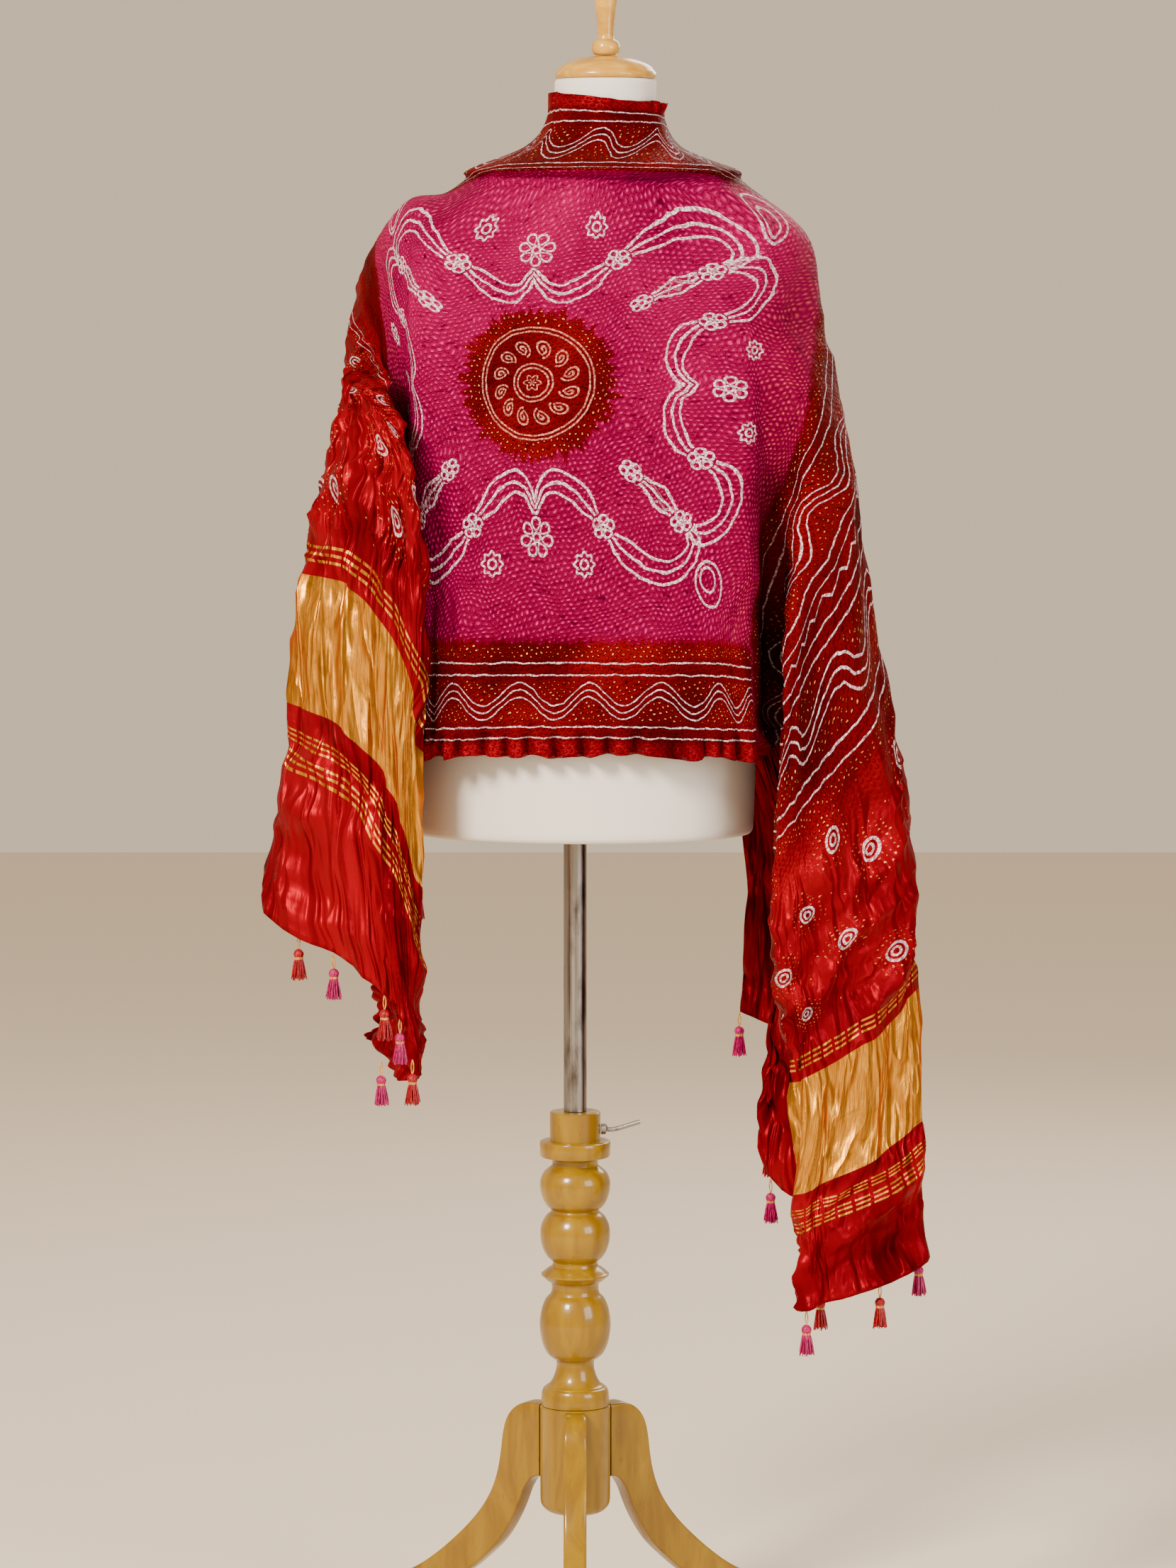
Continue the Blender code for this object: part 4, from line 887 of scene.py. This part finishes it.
def cloth_surface():
    """The cloth on a fine grid, with its flat place, vine and motifs held at each point."""
    half = np.concatenate([np.linspace(0, 0.12, 40, endpoint=False), np.linspace(0.12, HALF_LENGTH, 189)])
    across = np.concatenate([np.linspace(0, 0.70, 92, endpoint=False), np.linspace(0.70, WIDTH, 13)])
    u, v = np.meshgrid(np.concatenate([-half[:0:-1], half]), across, indexing="ij")
    rows, cols = u.shape
    points = laid(u, v)
    along_u = np.gradient(points, axis=0)
    along_v = np.gradient(points, axis=1)
    out = np.cross(along_u, along_v)
    out /= np.maximum(np.linalg.norm(out, axis=-1, keepdims=True), 1e-9)
    # The cloth's outer face looks away from the form: at the middle of the back that is -Y.
    if out[rows // 2, cols // 2, 1] > 0:
        out = -out
    points = points + out * soft_relief(u, v)[..., None]
    down = along_v / np.maximum(np.linalg.norm(along_v, axis=-1, keepdims=True), 1e-9)
    on_form = 1 - ease(0.30, 0.45, np.abs(u))
    scallop = ease(WIDTH - 0.02, WIDTH, v) * 0.0040 * cloudy(u / 0.020, v / 0.2, 12)
    scallop += (1 - ease(0.0, 0.014, v)) * 0.0034 * cloudy(u / 0.020, v / 0.2, 13)
    scallop *= on_form
    points = points + down * scallop[..., None]
    points = clear_of_form(points, 0.0016) + AXIS
    finishes = [bandhani_silk("bandhani_silk", True), bandhani_silk("bandhani_silk_wrong_side", False)]
    made = piece("bandhani_cloth", points, quads(rows, cols), finishes, turn=False)
    place, across = slid(u, v)
    motif, form, best = near_motif(place, across)
    vine, spacing = near_vine(place, across)
    nearest = np.stack([np.abs(vine).min(axis=-1), best, spacing], -1)
    held = {"flat": np.stack([place, across, 0 * u], -1), "vine": vine, "motif": motif, "form": form, "nearest": nearest}
    for name, values in held.items():
        kept = made.data.attributes.new(name, "FLOAT_VECTOR", "POINT")
        kept.data.foreach_set("vector", values.astype(np.float32).ravel())
    shell = made.modifiers.new("thickness", "SOLIDIFY")
    shell.thickness = 0.0008
    shell.offset = 0
    shell.material_offset = 1
    return made


cloth = cloth_surface()
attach(cloth, "root")
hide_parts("cloth")


# ---- the form and its stand

def form_surface():
    """The padded form: level ovals whose sizes follow the table by calm cubics, on an axis that leans."""
    table = np.array(TORSO)
    z = np.concatenate([np.linspace(a, b, 6, endpoint=False) for a, b in zip(table[:-1, 0], table[1:, 0])] + [table[-1:, 0]])
    wide, deep = along(z, table[:, 0], table[:, 1:], calm_slopes(table[:, 1:], table[:, 0])).T
    a = np.linspace(0, 2 * math.pi, 120, endpoint=False)
    middle = BASE_X + (z - BASE_Z) * LEAN
    x = middle[:, None] + wide[:, None] * np.cos(a)
    level = z[:, None] + 0 * a
    ring = np.stack([x, deep[:, None] * np.sin(a), level + lift(x, level)], -1)
    faces = [tuple(f) for f in quads(len(z), 120, True)] + [tuple(range(120)), tuple(range((len(z) - 1) * 120, len(z) * 120))]
    return finish_edges(piece("padded_form", ring + AXIS, faces, [cotton_jersey()]), 50)


def add_part(made, node):
    """A finished piece in place of its node."""
    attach(made, "root")
    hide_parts(node)
    return made


NECK = AXIS + np.array([BASE_X + (1.59 - BASE_Z) * LEAN, 0, 0])
CAP = (
    ((0.0470, 0.0003), (0.0492, 0.0008), (0.0504, 0.0030), (0.0504, 0.0050), (0.0496, 0.0072)),
    ((0.0496, 0.0072), (0.0482, 0.0086)),
    ((0.0482, 0.0086), (0.0450, 0.0125), (0.0400, 0.0158), (0.0300, 0.0198), (0.0200, 0.0220), (0.0020, 0.0236)),
)
FINIAL = (
    ((0.0105, 0.0238), (0.0128, 0.0258), (0.0140, 0.0295), (0.0140, 0.0330), (0.0126, 0.0368), (0.0100, 0.0388)),
    ((0.0100, 0.0388), (0.0084, 0.0398)),
    ((0.0084, 0.0398), (0.0080, 0.0450), (0.0088, 0.0580), (0.0108, 0.0740), (0.0125, 0.0880), (0.0124, 0.0990),
     (0.0100, 0.1080), (0.0060, 0.1125), (0.0006, 0.1140)),
)
COLUMN = (
    ((0.0120, 0.5521), (0.0245, 0.5521)),
    ((0.0245, 0.5521), (0.0257, 0.5509)),
    ((0.0257, 0.5509), (0.0257, 0.5225)),
    ((0.0257, 0.5225), (0.0342, 0.5222)),
    ((0.0342, 0.5222), (0.0354, 0.5216)),
    ((0.0354, 0.5216), (0.0358, 0.5206)),
    ((0.0358, 0.5206), (0.0358, 0.5078)),
    ((0.0358, 0.5078), (0.0345, 0.5062)),
    ((0.0345, 0.5062), (0.0262, 0.5052)),
    ((0.0262, 0.5052), (0.0240, 0.5030), (0.0232, 0.4998), (0.0234, 0.4972)),
    ((0.0234, 0.4972), (0.0270, 0.4944), (0.0320, 0.4898), (0.0350, 0.4830), (0.0357, 0.4771), (0.0350, 0.4700),
     (0.0325, 0.4620), (0.0290, 0.4560), (0.0252, 0.4526)),
    ((0.0252, 0.4526), (0.0243, 0.4510), (0.0252, 0.4492)),
    ((0.0252, 0.4492), (0.0300, 0.4448), (0.0338, 0.4375), (0.0354, 0.4300), (0.0350, 0.4200), (0.0325, 0.4110),
     (0.0285, 0.4040), (0.0240, 0.3996)),
    ((0.0240, 0.3996), (0.0229, 0.3975), (0.0236, 0.3938)),
    ((0.0236, 0.3938), (0.0262, 0.3926), (0.0296, 0.3902), (0.0328, 0.3874), (0.0344, 0.3862)),
    ((0.0344, 0.3862), (0.0344, 0.3846)),
    ((0.0344, 0.3846), (0.0322, 0.3826), (0.0290, 0.3796), (0.0262, 0.3780), (0.0250, 0.3772)),
    ((0.0250, 0.3772), (0.0239, 0.3740), (0.0240, 0.3690), (0.0252, 0.3652)),
    ((0.0252, 0.3652), (0.0300, 0.3600), (0.0340, 0.3500), (0.0360, 0.3380), (0.0358, 0.3280), (0.0335, 0.3150),
     (0.0290, 0.3050), (0.0230, 0.2992)),
    ((0.0230, 0.2992), (0.0198, 0.2976)),
    ((0.0198, 0.2976), (0.0190, 0.2930), (0.0200, 0.2860), (0.0226, 0.2785), (0.0262, 0.2730), (0.0296, 0.2706)),
    ((0.0296, 0.2706), (0.0302, 0.2694)),
    ((0.0302, 0.2694), (0.0322, 0.2684), (0.0338, 0.2650), (0.0346, 0.2600), (0.0349, 0.2550), (0.0346, 0.2512)),
    ((0.0346, 0.2512), (0.0150, 0.2510)),
)
HUB = (
    ((0.0150, 0.2504), (0.0345, 0.2504)),
    ((0.0345, 0.2504), (0.0357, 0.2490)),
    ((0.0357, 0.2490), (0.0357, 0.1540)),
    ((0.0357, 0.1540), (0.0346, 0.1486), (0.0310, 0.1438), (0.0255, 0.1408), (0.0170, 0.1395), (0.0010, 0.1393)),
)
# The leg's upper and lower edges, as distance from the stand's axis and height.
LEG_TOP = (
    (0.0361, 0.2492), (0.0430, 0.2496), (0.0520, 0.2494), (0.0620, 0.2460), (0.0705, 0.2390), (0.0765, 0.2290),
    (0.0800, 0.2150), (0.0822, 0.1980), (0.0858, 0.1780), (0.0925, 0.1580), (0.1030, 0.1390), (0.1190, 0.1190),
    (0.1400, 0.0985), (0.1600, 0.0815), (0.1810, 0.0665), (0.2040, 0.0545), (0.2250, 0.0460), (0.2400, 0.0370),
    (0.2480, 0.0250), (0.2498, 0.0130), (0.2470, 0.0002),
)
LEG_UNDER = (
    (0.0361, 0.1742), (0.0400, 0.1738), (0.0440, 0.1722), (0.0480, 0.1690), (0.0520, 0.1635), (0.0560, 0.1560),
    (0.0600, 0.1455), (0.0650, 0.1340), (0.0710, 0.1225), (0.0790, 0.1095), (0.0890, 0.0965), (0.1020, 0.0840),
    (0.1180, 0.0700), (0.1360, 0.0565), (0.1550, 0.0430), (0.1740, 0.0320), (0.1880, 0.0252), (0.1990, 0.0190),
    (0.2060, 0.0100), (0.2100, 0.0030), (0.2120, 0.0002),
)
LEG_HALF = 0.0115


def leg_surface(name, angle, material):
    """A sawn leg: at each step along it, a rectangle between its two edges with corners 3 mm round."""
    upper, lower = smooth_line(LEG_TOP, 4), smooth_line(LEG_UNDER, 4)
    middle, half = (upper + lower) / 2, (upper - lower) / 2
    tall = np.linalg.norm(half, axis=1)[:, None]
    corner = np.minimum(0.003, 0.4 * tall)
    arc = np.linspace(0, math.pi / 2, 5)
    arc = np.concatenate([arc + k * math.pi / 2 for k in range(4)])
    way = np.repeat([[1, 1], [-1, 1], [-1, -1], [1, -1]], 5, axis=0)
    rise = (way[:, 0] * (tall - corner) + corner * np.cos(arc)) / tall
    y = way[:, 1] * (LEG_HALF - corner) + corner * np.sin(arc)
    r, z = (middle[:, :, None] + half[:, :, None] * rise[:, None]).swapaxes(0, 1)
    a = math.radians(angle)
    ring = np.stack([r * math.cos(a) - y * math.sin(a), r * math.sin(a) + y * math.cos(a), z], -1) + AXIS
    faces = [tuple(f) for f in quads(len(middle), 20, True)]
    faces += [tuple(range(20)), tuple(range((len(middle) - 1) * 20, len(middle) * 20))]
    return finish_edges(piece(name, ring, faces, [material]), 50)


stand_wood = lacquered_wood("lacquered_hardwood", "#8c6a00", "#765400", (45.0, 45.0, 9.0))
cap_wood = lacquered_wood("lacquered_beech", "#c89838", "#ac781c", (22.0, 60.0, 60.0))
steel = plated_steel()
add_part(form_surface(), "torso")
add_part(turned("domed_cap", CAP, NECK, 1.59, cap_wood), "neck_cap")
add_part(turned("knob_and_spindle", FINIAL, NECK, 1.59, cap_wood, 64), "finial")
add_part(turned("turned_column", COLUMN, AXIS, 0.0, stand_wood), "column")
add_part(turned("stand_hub", HUB, AXIS, 0.0, stand_wood), "hub")
add_part(turned("height_pole", (((0.0112, 0.8347), (0.01165, 0.8342)), ((0.01165, 0.8342), (0.01165, 0.5528)),
                                ((0.01165, 0.5528), (0.0112, 0.5524))), AXIS, 0.0, steel, 64), "pole")
for number, angle in enumerate((-90, 30, 150), 1):
    add_part(leg_surface(f"curved_leg_{number}", angle, stand_wood), f"leg_{number}")

rod = smooth_line(((0.0262, 0, 0.5340), (0.0310, 0, 0.5340), (0.0370, 0, 0.5335), (0.0450, 0, 0.5350), (0.0550, 0, 0.5382),
                   (0.0657, 0, 0.5414)), 6) + AXIS
thick = np.where(rod[:, 0] - AXIS[0] < 0.0315, 0.0054, np.where(rod[:, 0] - AXIS[0] < 0.0325, 0.0035, 0.0023))
rod_points, rod_faces = tubes(rod[None], thick[None], 16)
add_part(finish_edges(piece("clamp_rod", rod_points, rod_faces, [dull_steel()]), 40), "clamp_screw")


# ---- the tassels

THREADS = 72


def tassel_surface(name, top, seed, thread, gold):
    """A gold loop, a bound ball, a gold band and a skirt of threads.

    The loop is two cords that part and meet. The ball is a turned curve. Each thread of the skirt
    starts under the ball, leans out by a share of its own and hangs straight down.
    """
    rng = np.random.default_rng(seed)
    points, faces, which = [], [], []

    def add(more, new_faces, kind):
        start = sum(len(p) for p in points)
        points.append(np.asarray(more).reshape(-1, 3))
        faces.extend(tuple(int(k) + start for k in f) for f in new_faces)
        which.extend([kind] * len(new_faces))

    t = np.linspace(0, 1, 9)
    loop = np.stack([
        np.stack([s * 0.0013 * np.sin(math.pi * t), 0.0004 * np.sin(2 * math.pi * t) * s, -0.0148 * t], 1) for s in (-1, 1)
    ])
    add(*tubes(loop, np.full((2, 9), 0.00062), 6), 1)
    profile = smooth_line(((0.0009, -0.0140), (0.0030, -0.0150), (0.0047, -0.0172), (0.0051, -0.0196), (0.0044, -0.0219),
                           (0.0036, -0.0228)), 4)
    turns = np.linspace(0, 2 * math.pi, 20, endpoint=False)
    ball = np.stack([profile[:, :1] * np.cos(turns), profile[:, :1] * np.sin(turns), profile[:, 1:] + 0 * turns], -1)
    caps = [tuple(range(20)), tuple(range((len(profile) - 1) * 20, len(profile) * 20))]
    add(ball, [tuple(f) for f in quads(len(profile), 20, True)] + caps, 0)
    for height in (-0.0224, -0.0232, -0.0240):
        turn = np.linspace(0, 2 * math.pi, 25)
        ring = np.stack([0.0040 * np.cos(turn), 0.0040 * np.sin(turn), np.full(25, height)], 1)
        add(*tubes(ring[None], np.full((1, 25), 0.00050), 5), 1)
    k = np.arange(THREADS)
    angle = k * 2.399963 + rng.uniform(-0.2, 0.2, THREADS)
    share = np.sqrt((k + 0.5) / THREADS)
    length = 0.0195 + rng.uniform(-0.0018, 0.0022, THREADS)
    s = np.linspace(0, 1, 7)[None]
    reach = share[:, None] * (0.0034 + 0.0040 * s**0.7 + rng.uniform(-0.0006, 0.0010, (THREADS, 1)) * s)
    wobble = rng.uniform(-0.3, 0.3, (THREADS, 1)) * s
    strands = np.stack([
        reach * np.cos(angle[:, None] + wobble),
        reach * np.sin(angle[:, None] + wobble),
        -0.0236 - s * length[:, None],
    ], -1)
    thin = 0.00070 - 0.00020 * s + np.zeros((THREADS, 1))
    add(*tubes(strands, thin, 4), 0)
    return finish_edges(piece(name, np.concatenate(points) + np.asarray(top), faces, [thread, gold], which=which), 60)


red_thread = silk_thread("red_silk_thread", "#ac0014", "#580008")
magenta_thread = silk_thread("magenta_silk_thread", "#b80060", "#6c0036")
gold_thread = silk_thread("gilt_cord", "#d8a050", "#8a5814")
tassels = []
for entry in frame["record"]["subparts"]:
    node = entry["node"]
    if not node.startswith("tassel"):
        continue
    low, high = (np.array(corner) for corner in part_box(node))
    top = np.array([(low[0] + high[0]) / 2, (low[1] + high[1]) / 2, high[2]])
    thread = red_thread if entry["material_slot"] == "tassel_red" else magenta_thread
    made = tassel_surface(node.replace("tassel", "threads"), top, 100 + len(tassels), thread, gold_thread)
    tassels.append(add_part(made, node))


# ---- floor and light

def floor_finish():
    """Pale matt paint."""
    made, t, shader = new_material("pale_floor_paint")
    join(t, shader, Base_Color=paint("#e2d6c4"), Roughness=0.9)
    return made


floor = piece("floor", [(-8, -8, 0), (8, -8, 0), (8, 8, 0), (-8, 8, 0)], [(0, 1, 2, 3)], [floor_finish()], turn=False)

LIGHTS = (
    ("key_light", (-2.1, -3.2, 3.2), (0.0, 0.0, 1.05), 1.0, 420, "#fff2e2"),
    ("fill_light", (2.8, -2.6, 1.8), (0.0, 0.0, 0.95), 1.8, 110, "#ffffff"),
    ("rim_light", (1.2, 3.0, 2.6), (0.0, 0.0, 1.10), 1.6, 60, "#fff6ee"),
)
for name, at, aim, size, power, tint in LIGHTS:
    lamp = bpy.data.lights.new(name, "AREA")
    lamp.size = size
    lamp.energy = power
    lamp.color = paint(tint)[:3]
    made = bpy.data.objects.new(name, lamp)
    made.location = at
    made.rotation_euler = (Vector(aim) - Vector(at)).to_track_quat("-Z", "Y").to_euler()
    bpy.context.scene.collection.objects.link(made)

world = bpy.data.worlds.new("studio")
bpy.context.scene.world = world
world.use_nodes = True
world.node_tree.nodes["Background"].inputs["Color"].default_value = paint("#ffe6c6")
world.node_tree.nodes["Background"].inputs["Strength"].default_value = 0.80
